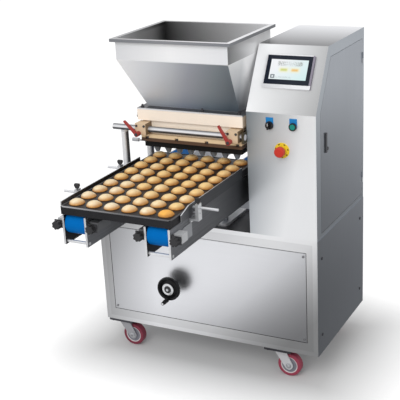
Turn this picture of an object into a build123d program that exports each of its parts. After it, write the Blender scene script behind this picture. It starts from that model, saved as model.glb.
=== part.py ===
from build123d import *
from math import cos, pi, radians, sin
import os

os.makedirs("parts", exist_ok=True)

# Driving dimensions, in millimetres
# +X is to the operator's right, +Y runs to the rear, Z is up from the floor

# Cabinet and control column
cabinet_width = 990
cabinet_depth = 560
cabinet_front = -20
cabinet_bottom = 132
deck_top = 628
sheet = 3
panel_side_margin = 48
panel_end_margin = 56
panel_gap = 2.5
door_gap = 1.5
rebate_lip = 14
side_panel_thickness = 2
column_width = 280
column_top = 1354
console_break = 1122
console_setback = 140
door_front_margin = 48
door_rear_margin = 20
door_top_margin = 44
door_bottom_margin = 17
side_opening = ((60, 460), (190, 570))
cable_slot = ((300, 420), (300, 460))
vent_x = (285, 425)
vent_z = 1150
vent_pitch = 18
vent_height = 6
vent_rows = 7

# Castors
wheel_radius = 50
wheel_width = 32
castor_trail = 38
castor_spots = {
    "front_left": (-428, 30),
    "front_right": (316, 30),
    "rear_left": (-428, 480),
    "rear_right": (316, 480),
}

# Metering head, hopper and the bars that carry them
head_x = -27
head_y = 61
head_bar_radius = 12
head_bar_z = 1024
head_bar_reach = 97
head_bar_left = -370
rear_bar_right = 240
lug_thickness = 8
lug_height = 44
post_x = -320
post_radius = 15
manifold_width = 462
manifold_depth = 184
manifold_z = (1058, 1101)
housing_width = 430
housing_depth = 152
outlet_width = 444
nozzle_y = 23
nozzle_count = 8
nozzle_pitch = 51
nozzle_tip_z = 917
nozzle_z = (945, 970)
outlet_z = (970, 1000)
roller_spacing = 64
roller_radius = 26.6
roller_length = 389
roller_z = 1029
hopper_top = 1405
hopper_shoulder = 1323
hopper_half = (236, 196)
hopper_y = 50
hopper_foot_half = (201, 50)
hopper_foot_y = 60
hopper_flange = 16
hopper_lip = 12
hopper_sheet = 2.5
hopper_base = 6

# Belt conveyors on the lift
conveyor_spacing = 338
conveyor_width = 102
plate_thickness = 8
plate_z = (746, 857)
conveyor_front = -615
conveyor_rear = 632
belt_top = 860
belt_width = 84
belt_thickness = 2.2
belt_gap = 0.3
pulley_radius = 37.5
front_axis_y = -573
rear_axis_y = 585
axle_radius = 8
drive_shaft_radius = 10
takeup_offset = 20
takeup_block = 34
knob_radius = 17
rod_radius = 6

# Tray, cakes and tray guides
tray_width = 446
tray_length = 700
tray_height = 30
tray_front = -612
tray_gap = 0.4
tray_sheet = 2
cup_pitch = (73, 76)
cup_count = (6, 9)
cup_top_radius = 27.5
cup_depth = 24
cup_taper = 16
cup_wall = 1.2
cake_dome = 20
rail_gap = 4
rail_thickness = 4
rail_z = (862, 905)
rail_rears = {-1: -40, 1: -50}
rail_fronts = {-1: -600, 1: -548}
rail_chamfer_drop = {-1: 2, 1: 18}
guide_rod_z = 889
guide_rod_radius = 5
guide_pin_z = 870
guide_pin_radius = 3
guide_stations = {-1: {"front": -460, "rear": -155}, 1: {"front": -460}}
rod_reach = {-1: 89, 1: 109}

# Lift and handwheel
lift_beam_y = (57, 310)
lift_beam = 40
lift_post_x = (-126, 72)
lift_post_radius = 11
handwheel_x = -142
handwheel_z = 351
handwheel_radius = 51
handwheel_shaft_radius = 8
pinion_module = 2.5
pinion_teeth = 16
pinion_y = (100, 118)
rack_slot = ((-132, -96), (92, 126))
bush_radius = 17
bush_depth = 60
guide_plate_thickness = 12
shaft_stand_width = 80
shaft_stand_y = (130, 138)
shaft_stand_rise = 35
crank_radius = 43

# Clearances and small sizes used everywhere
running = 0.05
free = 0.3
screw_shank = 2.5
screw_head = 5
screw_head_height = 2.5

# Worked-out places
half_width = cabinet_width / 2
cabinet_rear = cabinet_front + cabinet_depth
column_left = half_width - column_width
lug_x = (column_left - lug_thickness, column_left + 1)
axis_z = belt_top - pulley_radius - belt_gap - belt_thickness
conveyor_x = (head_x - conveyor_spacing / 2, head_x + conveyor_spacing / 2)
plate_outer = conveyor_width / 2
tray_z = belt_top + tray_gap
tray_top = tray_z + tray_height
tray_y = tray_front + tray_length / 2
head_bar_y = (head_y - head_bar_reach, head_y + head_bar_reach)
housing_y = (head_y - housing_depth / 2, head_y + housing_depth / 2)
clamp_x = (head_x - manifold_width / 2 + 30, head_x + manifold_width / 2 - 30)
clamp_z = (1006, 1052)
clamp_width = 48
clamp_front = head_y - 127
clamp_rear = head_y + 127
panel_x = half_width - panel_side_margin
panel_z = (cabinet_bottom + panel_end_margin, deck_top - panel_end_margin)
pinion_radius = pinion_module * pinion_teeth / 2
x_axis, y_axis, z_axis = (1, 0, 0), (0, 1, 0), (0, 0, 1)


def block(x, y, z, mode=Mode.ADD):
    """A box between two corners, each axis given as (low, high)."""
    with Locations(((x[0] + x[1]) / 2, (y[0] + y[1]) / 2, (z[0] + z[1]) / 2)):
        Box(x[1] - x[0], y[1] - y[0], z[1] - z[0], mode=mode)


def bar(start, axis, length, radius, mode=Mode.ADD):
    """A round bar that runs a length along an axis from its start point."""
    with Locations(Plane(origin=start, z_dir=axis)):
        Cylinder(radius, length, align=(Align.CENTER, Align.CENTER, Align.MIN), mode=mode)


def bore(start, axis, length, radius):
    """A round hole with running clearance for a shaft of that radius."""
    bar(start, axis, length, radius + running, Mode.SUBTRACT)


def screw_hole(start, axis, length):
    """A clearance hole for a small screw."""
    bar(start, axis, length, screw_shank + 0.1, Mode.SUBTRACT)


def span(centre, size):
    """The low and high ends of a size set about its centre."""
    return (centre - size / 2, centre + size / 2)


def save(piece, name):
    """Name a finished piece and write it to its own file."""
    piece.label = name
    export_step(piece, f"parts/{name}.step")


def gear_outline(teeth, module, turn=0):
    """Points of a spur gear with straight-sided teeth and some backlash, turned by a part of one tooth."""
    pitch_radius = teeth * module / 2
    pitch = 2 * pi / teeth
    steps = ((-0.36, -1.15), (-0.12, 0.85), (0.12, 0.85), (0.36, -1.15))
    points = []
    for tooth in range(teeth):
        for share, depth in steps:
            angle = (tooth + turn + share) * pitch
            radius = pitch_radius + depth * module
            points.append((radius * cos(angle), radius * sin(angle)))
    return points


# Screw places, as (point on the seat, direction the screw is driven)
panel_screw_points = [
    ((x, cabinet_front, z), y_axis)
    for x in (10 - panel_x, panel_x - 10)
    for z in (panel_z[0] + 12, panel_z[1] - 14)
]
side_screw_points = [
    ((half_width + side_panel_thickness, y, z), (-1, 0, 0)) for y in (24, 490) for z in (214, 543)
]
clamp_screw_points = [((x + dx, clamp_front, 1042), y_axis) for x in clamp_x for dx in (-17, 17)]
outlet_screw_points = [((head_x + dx, head_y - 79, 985), y_axis) for dx in (-196, -62, 71, 204)]
hopper_stud_points = [(head_x + dx, y) for dx in (-212, 55, 212) for y in (-18, 142)]

# Base cabinet: a folded sheet box with a rebated front opening
with BuildPart() as base_cabinet:
    block((-half_width, half_width), (cabinet_front, cabinet_rear), (cabinet_bottom, deck_top))
    block(
        (sheet - half_width, half_width - sheet),
        (cabinet_front + 2 * sheet, cabinet_rear - sheet),
        (cabinet_bottom + sheet, deck_top - sheet),
        Mode.SUBTRACT,
    )
    opening = panel_x + panel_gap
    rebate_z = (panel_z[0] - panel_gap, panel_z[1] + panel_gap)
    block((-opening, opening), (cabinet_front, cabinet_front + sheet), rebate_z, Mode.SUBTRACT)
    opening = panel_x - rebate_lip
    mouth_z = (panel_z[0] + rebate_lip, panel_z[1] - rebate_lip)
    block((-opening, opening), (cabinet_front, cabinet_front + 2 * sheet), mouth_z, Mode.SUBTRACT)
    block((half_width - sheet, half_width), *side_opening, Mode.SUBTRACT)
    for x in lift_post_x:
        for y in lift_beam_y:
            bar((x, y, deck_top - sheet), z_axis, sheet, bush_radius, Mode.SUBTRACT)
    block(*rack_slot, (deck_top - sheet, deck_top), Mode.SUBTRACT)
    block(*cable_slot, (deck_top - sheet, deck_top), Mode.SUBTRACT)
    stand_z = (cabinet_bottom, handwheel_z + shaft_stand_rise)
    block(span(handwheel_x, shaft_stand_width), shaft_stand_y, stand_z)
    stand_depth = shaft_stand_y[1] - shaft_stand_y[0]
    bore((handwheel_x, shaft_stand_y[0], handwheel_z), y_axis, stand_depth, handwheel_shaft_radius)
    for point, axis in panel_screw_points + side_screw_points:
        screw_hole(point, axis, 3 * sheet)
save(base_cabinet.part, "base_cabinet")

# Front panel, flush in its rebate
with BuildPart() as front_panel:
    block((-panel_x, panel_x), (cabinet_front, cabinet_front + sheet), panel_z)
    bore((handwheel_x, cabinet_front, handwheel_z), y_axis, sheet, handwheel_shaft_radius)
    for point, axis in panel_screw_points:
        screw_hole(point, axis, sheet)
save(front_panel.part, "front_panel")

# Lower side panel on the right wall
with BuildPart() as lower_side_panel:
    block(
        (half_width, half_width + side_panel_thickness),
        (cabinet_front + 2, cabinet_rear - 2),
        (cabinet_bottom + 2, deck_top - 2),
    )
    for point, axis in side_screw_points:
        screw_hole(point, axis, side_panel_thickness)
save(lower_side_panel.part, "lower_side_panel")

# Outlines of the control column and its door, as (Y, Z)
console_outline = [
    (cabinet_front, deck_top),
    (cabinet_front, console_break),
    (cabinet_front + console_setback, column_top),
    (cabinet_rear, column_top),
    (cabinet_rear, deck_top),
]
slope_per_height = console_setback / (column_top - console_break)
door_front = cabinet_front + door_front_margin
door_rear = cabinet_rear - door_rear_margin
door_top = column_top - door_top_margin
door_bottom = deck_top + door_bottom_margin
door_outline = [
    (door_front, door_bottom),
    (door_front, console_break),
    (door_front + slope_per_height * (door_top - console_break), door_top),
    (door_rear, door_top),
    (door_rear, door_bottom),
]
console_plane = Plane(
    origin=(0, cabinet_front, console_break),
    x_dir=x_axis,
    z_dir=(0, console_break - column_top, console_setback),
)
hinge_x = half_width + 2.4
hinge_y = door_rear + door_gap / 2
hinge_radius = 2.2
hinge_pin = 1.2
hinge_knuckle = 22
hinge_leaf = (0.75, 6)
hinge_heights = (720, 1230)
button_spots = {"selector": (311, 1076), "start": (406, 1077), "estop": (359, 981)}
button_stem = 11
screen_centre = (359, 162)
screen_frame = (194, 132)
screen_box = (180, 118)
drive_hole = 20
drive_roller_y = head_y + roller_spacing / 2
idle_roller_y = head_y - roller_spacing / 2


def side_sheet(points, grow, x_low, x_high, mode=Mode.ADD):
    """A sheet in the side plane from an outline, grown or shrunk all round."""
    with BuildSketch(Plane.YZ.offset(x_low)) as outline:
        with BuildLine():
            Polyline(*points, close=True)
        make_face()
        if grow:
            offset(amount=grow, kind=Kind.INTERSECTION, mode=Mode.REPLACE)
    extrude(outline.sketch, amount=x_high - x_low, mode=mode)


# Control column: a folded sheet shell with the console, the door opening and vents in its back
with BuildPart() as control_column:
    side_sheet(console_outline, 0, column_left, half_width)
    side_sheet(console_outline, -sheet, column_left + sheet, half_width - 2 * sheet, Mode.SUBTRACT)
    side_sheet(door_outline, door_gap, half_width - sheet, half_width, Mode.SUBTRACT)
    side_sheet(door_outline, -rebate_lip, half_width - 2 * sheet, half_width, Mode.SUBTRACT)
    with BuildSketch(console_plane):
        with Locations(screen_centre):
            Rectangle(screen_box[0] + 2, screen_box[1] + 2)
    extrude(amount=2 * sheet, both=True, mode=Mode.SUBTRACT)
    for x, z in button_spots.values():
        bore((x, cabinet_front, z), y_axis, sheet, button_stem)
    block(lug_x, (head_bar_y[0] - 16, cabinet_front + 12), span(head_bar_z, lug_height))
    for start, y in ((lug_x[0], head_bar_y[0]), (column_left, head_bar_y[1])):
        bore((start, y, head_bar_z), x_axis, lug_x[1] - lug_x[0], head_bar_radius)
    bar((column_left, drive_roller_y, roller_z), x_axis, sheet, drive_hole, Mode.SUBTRACT)
    block(*cable_slot, (deck_top, deck_top + sheet), Mode.SUBTRACT)
    for row in range(vent_rows):
        slot_z = span(vent_z + vent_pitch * row, vent_height)
        block(vent_x, (cabinet_rear - sheet, cabinet_rear), slot_z, Mode.SUBTRACT)
    leaf_y = (hinge_y + hinge_leaf[0], hinge_y + hinge_leaf[1])
    for z in hinge_heights:
        bar((hinge_x, hinge_y, z - hinge_knuckle), z_axis, hinge_knuckle, hinge_radius)
        block((half_width - 0.5, hinge_x), leaf_y, (z - hinge_knuckle, z))
        bar((hinge_x, hinge_y, z), z_axis, hinge_knuckle - 2, hinge_pin)
save(control_column.part, "control_column")

# Side door with its hinge knuckles, which lift off the pins
handle_y = 80
handle_z = 968
handle_spindle = 4
handle_width = 13
handle_ends = (12, 66)
with BuildPart() as side_door:
    side_sheet(door_outline, 0, half_width - sheet, half_width)
    leaf_y = (hinge_y - hinge_leaf[1], hinge_y - hinge_leaf[0])
    for z in hinge_heights:
        foot = z + 0.5
        bar((hinge_x, hinge_y, foot), z_axis, hinge_knuckle + 2, hinge_radius)
        block((half_width - 0.5, hinge_x), leaf_y, (foot, foot + hinge_knuckle + 2))
        bore((hinge_x, hinge_y, foot), z_axis, hinge_knuckle, hinge_pin)
    bore((half_width - sheet, handle_y, handle_z), x_axis, sheet, handle_spindle)
save(side_door.part, "side_door")

# Door handle on its spindle
with BuildPart() as door_handle:
    bar((half_width - 3 * sheet, handle_y, handle_z), x_axis, 10, handle_spindle)
    grip_z = (handle_z - handle_ends[0], handle_z + handle_ends[1])
    block((half_width + 0.5, half_width + 5), span(handle_y, handle_width), grip_z)
    fillet(door_handle.edges().filter_by(Axis.X), radius=3)
save(door_handle.part, "door_handle")

# Touch screen: a metal frame with its electronics box behind, and the glass let into its face
glass_size = (181, 114)
glass_centre = (358, 168)
glass_depth = 1.2
frame_height = 9
screen_box_depth = 38
with BuildPart() as touch_screen_frame:
    with BuildSketch(console_plane):
        with Locations(screen_centre):
            RectangleRounded(*screen_frame, 4)
    extrude(amount=frame_height)
    with BuildSketch(console_plane):
        with Locations(screen_centre):
            Rectangle(*screen_box)
    extrude(amount=-screen_box_depth)
    with BuildSketch(console_plane.offset(frame_height)):
        with Locations(glass_centre):
            Rectangle(glass_size[0], glass_size[1])
    extrude(amount=-glass_depth, mode=Mode.SUBTRACT)
save(touch_screen_frame.part, "touch_screen_frame")

with BuildPart() as touch_screen_glass:
    with BuildSketch(console_plane.offset(frame_height - glass_depth)):
        with Locations(glass_centre):
            Rectangle(glass_size[0], glass_size[1])
    extrude(amount=glass_depth)
save(touch_screen_glass.part, "touch_screen_glass")

# Selector, start button and emergency stop
button_face = cabinet_front - 12
with BuildPart() as selector_knob:
    x, z = button_spots["selector"]
    bar((x, cabinet_front - 1, z), y_axis, 25, button_stem)
    bar((x, button_face, z), y_axis, 11, 14)
    block(span(x, 8), (button_face - 11, button_face + 1), span(z, 26))
    fillet(selector_knob.edges().filter_by(Axis.Y), radius=2)
save(selector_knob.part, "selector_knob")

with BuildPart() as start_button:
    x, z = button_spots["start"]
    bar((x, button_face, z), y_axis, 36, button_stem)
    fillet(start_button.edges().group_by(Axis.Y)[0], radius=2)
save(start_button.part, "start_button")

with BuildPart() as estop_button:
    x, z = button_spots["estop"]
    bar((x, cabinet_front - 18, z), y_axis, 45, button_stem)
    bar((x, cabinet_front - 36, z), y_axis, 19, 20)
    fillet(estop_button.edges().group_by(Axis.Y)[0], radius=6)
save(estop_button.part, "estop_button")

# Control gear: a back plate with its modules on the left wall of the column
# Each module is given by its middle (Y, Z), its width, its height and its depth
back_plate = ((150, 450), (690, 930))
control_modules = [
    (200, 860, 70, 110, 75),
    (300, 860, 90, 130, 90),
    (300, 740, 240, 60, 45),
]
with BuildPart() as control_gear:
    block((column_left + sheet, column_left + 2 * sheet), *back_plate)
    for y, z, width, height, depth in control_modules:
        block((column_left + 2 * sheet, column_left + 2 * sheet + depth), span(y, width), span(z, height))
save(control_gear.part, "control_gear")

# Hopper: straight upper box, tapered lower part, rim flange with a turned-down lip, and base flange
hopper_foot = manifold_z[1] + hopper_base


def hopper_taper(shrink):
    """The tapered lower part of the hopper, shrunk on all sides for its hollow."""
    sections = []
    ends = ((hopper_foot, hopper_foot_half, hopper_foot_y), (hopper_shoulder, hopper_half, hopper_y))
    for z, half, y in ends:
        with BuildSketch(Plane.XY.offset(z)) as section:
            with Locations((head_x, y)):
                Rectangle(2 * (half[0] - shrink), 2 * (half[1] - shrink))
        sections.append(section.sketch)
    loft(sections, ruled=True)


stud_radius = 4
stud_depth = 18
stud_clearance = 0.1
rim_x = hopper_half[0] + hopper_flange
rim_y = hopper_half[1] + hopper_flange
with BuildPart() as hopper:
    hopper_taper(0)
    straight = (hopper_shoulder, hopper_top)
    block(span(head_x, 2 * hopper_half[0]), span(hopper_y, 2 * hopper_half[1]), straight)
    block(span(head_x, 2 * rim_x), span(hopper_y, 2 * rim_y), (hopper_top - hopper_sheet, hopper_top))
    for side in (-1, 1):
        lip_x = sorted((head_x + side * rim_x, head_x + side * (rim_x - hopper_sheet)))
        lip_y = sorted((hopper_y + side * rim_y, hopper_y + side * (rim_y - hopper_sheet)))
        block(lip_x, span(hopper_y, 2 * rim_y), (hopper_top - hopper_lip, hopper_top))
        block(span(head_x, 2 * rim_x), lip_y, (hopper_top - hopper_lip, hopper_top))
    block(span(head_x, manifold_width), span(head_y + 1, manifold_depth), (manifold_z[1], hopper_foot))
with BuildPart() as hopper_hollow:
    hopper_taper(hopper_sheet)
    inner = [2 * (half - hopper_sheet) for half in hopper_half]
    block(span(head_x, inner[0]), span(hopper_y, inner[1]), straight)
    throat = [2 * (half - hopper_sheet) for half in hopper_foot_half]
    block(span(head_x, throat[0]), span(hopper_foot_y, throat[1]), (manifold_z[1], hopper_foot))
with BuildPart() as hopper_shell:
    add(hopper.part)
    add(hopper_hollow.part, mode=Mode.SUBTRACT)
    for x, y in hopper_stud_points:
        bar((x, y, manifold_z[1]), z_axis, hopper_base, stud_radius + stud_clearance, Mode.SUBTRACT)
save(hopper_shell.part, "hopper")

# Manifold block under the hopper, with the throat that feeds the rollers
with BuildPart() as manifold_block:
    block(span(head_x, manifold_width), span(head_y + 1, manifold_depth), manifold_z)
    block(span(head_x, throat[0] - 20), span(hopper_foot_y, throat[1] - 20), manifold_z, Mode.SUBTRACT)
    for x, y in hopper_stud_points:
        depth = stud_depth + 2
        bar((x, y, manifold_z[1] - depth), z_axis, depth, stud_radius + stud_clearance, Mode.SUBTRACT)
save(manifold_block.part, "manifold_block")

# Pump housing with the two roller chambers, their journal bores, the inlet and the outlet
chamber = roller_length + 1
chamber_clearance = 0.4
journal_radius = 10
inlet_width = 60
housing_outlet_y = (32, 60)
bar_outlet_y = (26, 52)
outlet_front = head_y - 87
with BuildPart() as pump_housing:
    block(span(head_x, housing_width), housing_y, (outlet_z[1], manifold_z[0]))
    for y in (idle_roller_y, drive_roller_y):
        chamber_radius = roller_radius + chamber_clearance
        bar((head_x - chamber / 2, y, roller_z), x_axis, chamber, chamber_radius, Mode.SUBTRACT)
        bore((head_x - housing_width / 2, y, roller_z), x_axis, housing_width, journal_radius)
    block(span(head_x, chamber), span(head_y, inlet_width), (roller_z, manifold_z[0]), Mode.SUBTRACT)
    block(span(head_x, chamber - 20), housing_outlet_y, (outlet_z[1], roller_z), Mode.SUBTRACT)
save(pump_housing.part, "pump_housing")

# Outlet bar below the housing, with pockets for its fixing screws
outlet_pocket = (16, 12)
with BuildPart() as outlet_bar:
    block(span(head_x, outlet_width), (outlet_front, housing_y[1]), outlet_z)
    block(span(head_x, chamber - 20), bar_outlet_y, outlet_z, Mode.SUBTRACT)
    for (x, y, z), axis in outlet_screw_points:
        block(span(x, outlet_pocket[0]), (outlet_front, y), span(z, outlet_pocket[1]), Mode.SUBTRACT)
        screw_hole((x, y, z), axis, 20)
save(outlet_bar.part, "outlet_bar")

# Nozzle bar and nozzles
nozzle_length = nozzle_z[0] - nozzle_tip_z
nozzle_bar_depth = 70
nozzle_feed = 8
nozzle_feed_shift = 6
nozzle_radii = ((8, 19, Mode.ADD), (5, 14, Mode.SUBTRACT))
pivot_z = 956
pivot_radius = 4
pivot_depth = 20
nozzle_xs = [head_x + nozzle_pitch * (n - (nozzle_count - 1) / 2) for n in range(nozzle_count)]
with BuildPart() as nozzle_bar:
    block(span(head_x, housing_width), span(nozzle_y, nozzle_bar_depth), nozzle_z)
    for x in nozzle_xs:
        foot = (x, nozzle_y + nozzle_feed_shift, nozzle_z[0])
        bar(foot, z_axis, nozzle_z[1] - nozzle_z[0], nozzle_feed, Mode.SUBTRACT)
    for side in (-1, 1):
        end = (head_x + side * housing_width / 2, nozzle_y, pivot_z)
        bar(end, (-side, 0, 0), pivot_depth, pivot_radius + stud_clearance, Mode.SUBTRACT)
save(nozzle_bar.part, "nozzle_bar")

with BuildPart() as nozzles:
    for x in nozzle_xs:
        with Locations((x, nozzle_y, nozzle_z[0])):
            for tip, root, mode in nozzle_radii:
                Cone(tip, root, nozzle_length, align=(Align.CENTER, Align.CENTER, Align.MAX), mode=mode)
save(nozzles.part, "nozzles")

# Clamp blocks that hold the head on its cross bars
lever_drop = 12
lever_screw = 5
lever_shift = -8
with BuildPart() as shaft_clamp_blocks:
    for x in clamp_x:
        for bar_y, depth in zip(head_bar_y, ((clamp_front, housing_y[0]), (housing_y[1], clamp_rear))):
            block(span(x, clamp_width), depth, clamp_z)
            bore((x - clamp_width / 2, bar_y, head_bar_z), x_axis, clamp_width, head_bar_radius)
        bore((x + lever_shift, clamp_front, head_bar_z - lever_drop), y_axis, 12, lever_screw)
    for point, axis in clamp_screw_points:
        screw_hole(point, axis, 16)
save(shaft_clamp_blocks.part, "shaft_clamp_blocks")

# Head support bars: two cross bars into the column, on two posts with foot flanges
foot_flange = (10, 36)
with BuildPart() as head_support_bars:
    for y in head_bar_y:
        bar((post_x, y, deck_top), z_axis, head_bar_z - deck_top - 8, post_radius)
        bar((post_x, y, deck_top), z_axis, *foot_flange)
        bore((post_x - post_radius, y, head_bar_z), x_axis, 2 * post_radius, head_bar_radius)
    for y, right in zip(head_bar_y, (lug_x[1], rear_bar_right)):
        bar((head_bar_left, y, head_bar_z), x_axis, right - head_bar_left, head_bar_radius)
save(head_support_bars.part, "head_support_bars")

# Screws, studs and pivot pins, each a head with its shank
side_screw_head = 6
stud_rise = 13
stud_nut = (7, 7)
pin_lengths = ((-1, 97), (1, 34))
pin_inset = 18
pin_sleeve = (50, 29, 8)
with BuildPart() as socket_screws:
    for point, axis in panel_screw_points + side_screw_points + clamp_screw_points + outlet_screw_points:
        back = tuple(-value for value in axis)
        shank = 6 if axis[0] or point[2] < deck_top else 14
        bar(point, axis, shank, screw_shank)
        bar(point, back, screw_head_height, side_screw_head if axis[0] else screw_head)
    for x, y in hopper_stud_points:
        stud_length = stud_depth + hopper_base + stud_rise
        bar((x, y, manifold_z[1] - stud_depth), z_axis, stud_length, stud_radius)
        bar((x, y, hopper_foot), z_axis, *stud_nut)
    for side, length in pin_lengths:
        start = (head_x + side * (housing_width / 2 - pin_inset), nozzle_y, pivot_z)
        bar(start, (side, 0, 0), length, pivot_radius)
    sleeve_reach, sleeve_length, sleeve_radius = pin_sleeve
    sleeve_start = (head_x - housing_width / 2 - sleeve_reach, nozzle_y, pivot_z)
    bar(sleeve_start, (-1, 0, 0), sleeve_length, sleeve_radius)
save(socket_screws.part, "socket_screws")

# Red clamp levers, each a hub with its screw and a tapered arm
lever_angles = {"left": 136, "right": 121}
lever_length = 71
lever_hub = 10
lever_root = 7
lever_tip = 4.5
for name, x in zip(lever_angles, clamp_x):
    turn = radians(lever_angles[name])
    hub = (x + lever_shift, head_bar_z - lever_drop)
    tip = (hub[0] + lever_length * cos(turn), hub[1] + lever_length * sin(turn))
    with BuildPart() as lever:
        bar((hub[0], clamp_front - 22, hub[1]), y_axis, 21, lever_hub)
        bar((hub[0], clamp_front - 2, hub[1]), y_axis, 12, lever_screw)
        with BuildSketch(Plane.XZ.offset(14 - clamp_front)):
            with Locations(hub):
                Circle(lever_root)
            with Locations(tip):
                Circle(lever_tip)
            make_hull()
        extrude(amount=8)
    save(lever.part, f"clamp_lever_{name}")

# Feed rollers with flutes, journals and timing gears; the rear one is driven from the column
gear_x = (205, 212.5)
timing_teeth = 32
timing_module = roller_spacing / timing_teeth
flute_count = 12
flute_radius = 4.5
flute_centre = 28
drive_reach = 300
journal_left = head_x - housing_width / 2 + 4
feed_rollers = (("front", idle_roller_y, gear_x[1], 0), ("rear", drive_roller_y, drive_reach, 0.5))
for name, y, reach, turn in feed_rollers:
    with BuildPart() as roller:
        bar((head_x - roller_length / 2, y, roller_z), x_axis, roller_length, roller_radius)
        for flute in range(flute_count):
            angle = 2 * pi * (flute + 0.5) / flute_count
            flute_y = y + flute_centre * cos(angle)
            flute_z = roller_z + flute_centre * sin(angle)
            start = (head_x - roller_length / 2, flute_y, flute_z)
            bar(start, x_axis, roller_length, flute_radius, Mode.SUBTRACT)
        bar((journal_left, y, roller_z), x_axis, reach - journal_left, journal_radius)
        with BuildSketch(Plane.YZ.offset(gear_x[0])):
            with BuildLine():
                outline = gear_outline(timing_teeth, timing_module, turn)
                Polyline(*[(y + a, roller_z + b) for a, b in outline], close=True)
            make_face()
        extrude(amount=gear_x[1] - gear_x[0])
    save(roller.part, f"feed_roller_{name}")

# Geared motor of the feed rollers, on the inside of the column's left wall
gearbox_right = 340
gearbox_size = 100
pump_motor_body = (130, 46)
with BuildPart() as pump_motor:
    gearbox_x = (column_left + sheet, gearbox_right)
    block(gearbox_x, span(drive_roller_y, gearbox_size), span(roller_z, gearbox_size))
    bar((gearbox_right, drive_roller_y, roller_z), x_axis, *pump_motor_body)
    bore((gearbox_x[0], drive_roller_y, roller_z), x_axis, drive_reach - gearbox_x[0] + 8, journal_radius)
save(pump_motor.part, "pump_motor")

# Conveyor side plates with the take-up slots, the bores of the drive shaft and of the front cross rods
rod_z = 757
rod_ys = (conveyor_front + 12, -380, -160, 180, 420, 610)
rod_stand_out = 1.5
takeup_slot = (44, 2 * axle_radius + 2)
plate_faces = [(x, side) for x in conveyor_x for side in (-1, 1)]
with BuildPart() as conveyor_side_plates:
    for x, side in plate_faces:
        outer = x + side * plate_outer
        plate = sorted((outer, outer - side * plate_thickness))
        block(plate, (conveyor_front, conveyor_rear), plate_z)
        block(plate, span(front_axis_y, takeup_slot[0]), span(axis_z, takeup_slot[1]), Mode.SUBTRACT)
        bore((plate[0], rear_axis_y, axis_z), x_axis, plate_thickness, drive_shaft_radius)
        bore((plate[0], rod_ys[0], rod_z), x_axis, plate_thickness, rod_radius)
save(conveyor_side_plates.part, "conveyor_side_plates")

# Cross rods between the plates of each conveyor; the front one passes through them
with BuildPart() as conveyor_cross_rods:
    for x in conveyor_x:
        for y in rod_ys:
            reach = plate_outer + rod_stand_out if y == rod_ys[0] else plate_outer - plate_thickness
            bar((x - reach, y, rod_z), x_axis, 2 * reach, rod_radius)
save(conveyor_cross_rods.part, "conveyor_cross_rods")

# Belts: closed loops round their pulleys
belt_inner = pulley_radius + belt_gap
with BuildPart() as conveyor_belts:
    for x in conveyor_x:
        for radius, mode in ((belt_inner + belt_thickness, Mode.ADD), (belt_inner, Mode.SUBTRACT)):
            with BuildSketch(Plane.YZ.offset(x - belt_width / 2)):
                with Locations(((front_axis_y + rear_axis_y) / 2, axis_z)):
                    SlotCenterToCenter(rear_axis_y - front_axis_y, 2 * radius)
            extrude(amount=belt_width, mode=mode)
save(conveyor_belts.part, "conveyor_belts")

# Front pulleys on their axles
axle_stand_out = 18
for name, x in zip(("left", "right"), conveyor_x):
    with BuildPart() as pulley:
        bar((x - belt_width / 2, front_axis_y, axis_z), x_axis, belt_width, pulley_radius)
        reach = plate_outer + axle_stand_out
        bar((x - reach, front_axis_y, axis_z), x_axis, 2 * reach, axle_radius)
    save(pulley.part, f"front_pulley_{name}")

# Rear drive roller: one shaft with a pulley in each conveyor
drive_stand_out = plate_outer + 15
drive_ends = (conveyor_x[0] - drive_stand_out, conveyor_x[1] + drive_stand_out)
with BuildPart() as drive_roller:
    bar((drive_ends[0], rear_axis_y, axis_z), x_axis, drive_ends[1] - drive_ends[0], drive_shaft_radius)
    for x in conveyor_x:
        bar((x - belt_width / 2, rear_axis_y, axis_z), x_axis, belt_width, pulley_radius)
save(drive_roller.part, "drive_roller")

# Geared motor of the belts, on the inner plate of the right conveyor
belt_gearbox = (70, 80)
belt_motor_body = (110, 33)
belt_motor_drop = 6
motor_x = conveyor_x[1] - plate_outer - belt_gearbox[0] / 2
motor_y = rear_axis_y - belt_gearbox[1] / 2
with BuildPart() as conveyor_motor:
    block(span(motor_x, belt_gearbox[0]), span(rear_axis_y, belt_gearbox[1]), (axis_z - 45, axis_z + 33))
    bar((motor_x, motor_y, axis_z - belt_motor_drop), (0, -1, 0), *belt_motor_body)
    bore((motor_x - belt_gearbox[0] / 2, rear_axis_y, axis_z), x_axis, belt_gearbox[0], drive_shaft_radius)
save(conveyor_motor.part, "conveyor_motor")

# Take-up blocks: an axle block, a screw bracket and a D-shaped cover on the outside of each plate
bracket_y = (conveyor_front + 6, conveyor_front + 10)
cover_y = (-537, -462)
cover_radius = 25
cover_drop = 13
cover_thickness = 3
bracket_reach = 38
bracket_height = 30
takeup_screw = 4
with BuildPart() as takeup_blocks:
    for x, side in plate_faces:
        outer = x + side * plate_outer
        screw_x = outer + side * takeup_offset
        body = sorted((outer, outer + side * takeup_block))
        block(body, span(front_axis_y, 40), span(axis_z, 32))
        bore((outer, front_axis_y, axis_z), (side, 0, 0), 20, axle_radius)
        bore((screw_x, front_axis_y - 20, axis_z), y_axis, 9, takeup_screw)
        bracket_z = span(axis_z, bracket_height)
        block(sorted((outer, outer + side * bracket_reach)), bracket_y, bracket_z)
        block(sorted((outer, outer + side * 4)), (bracket_y[0], bracket_y[1] + 10), bracket_z)
        bar((screw_x, bracket_y[0], axis_z), y_axis, 4, takeup_screw + free, Mode.SUBTRACT)
        with BuildSketch(Plane.YZ.offset(min(outer, outer + side * cover_thickness))):
            with Locations((cover_y[0] + cover_radius, axis_z - cover_drop)):
                Circle(cover_radius)
            with Locations((cover_y[1] - 4, axis_z - cover_drop)):
                Rectangle(8, 2 * cover_radius)
            make_hull()
        extrude(amount=cover_thickness)
save(takeup_blocks.part, "takeup_blocks")

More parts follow.
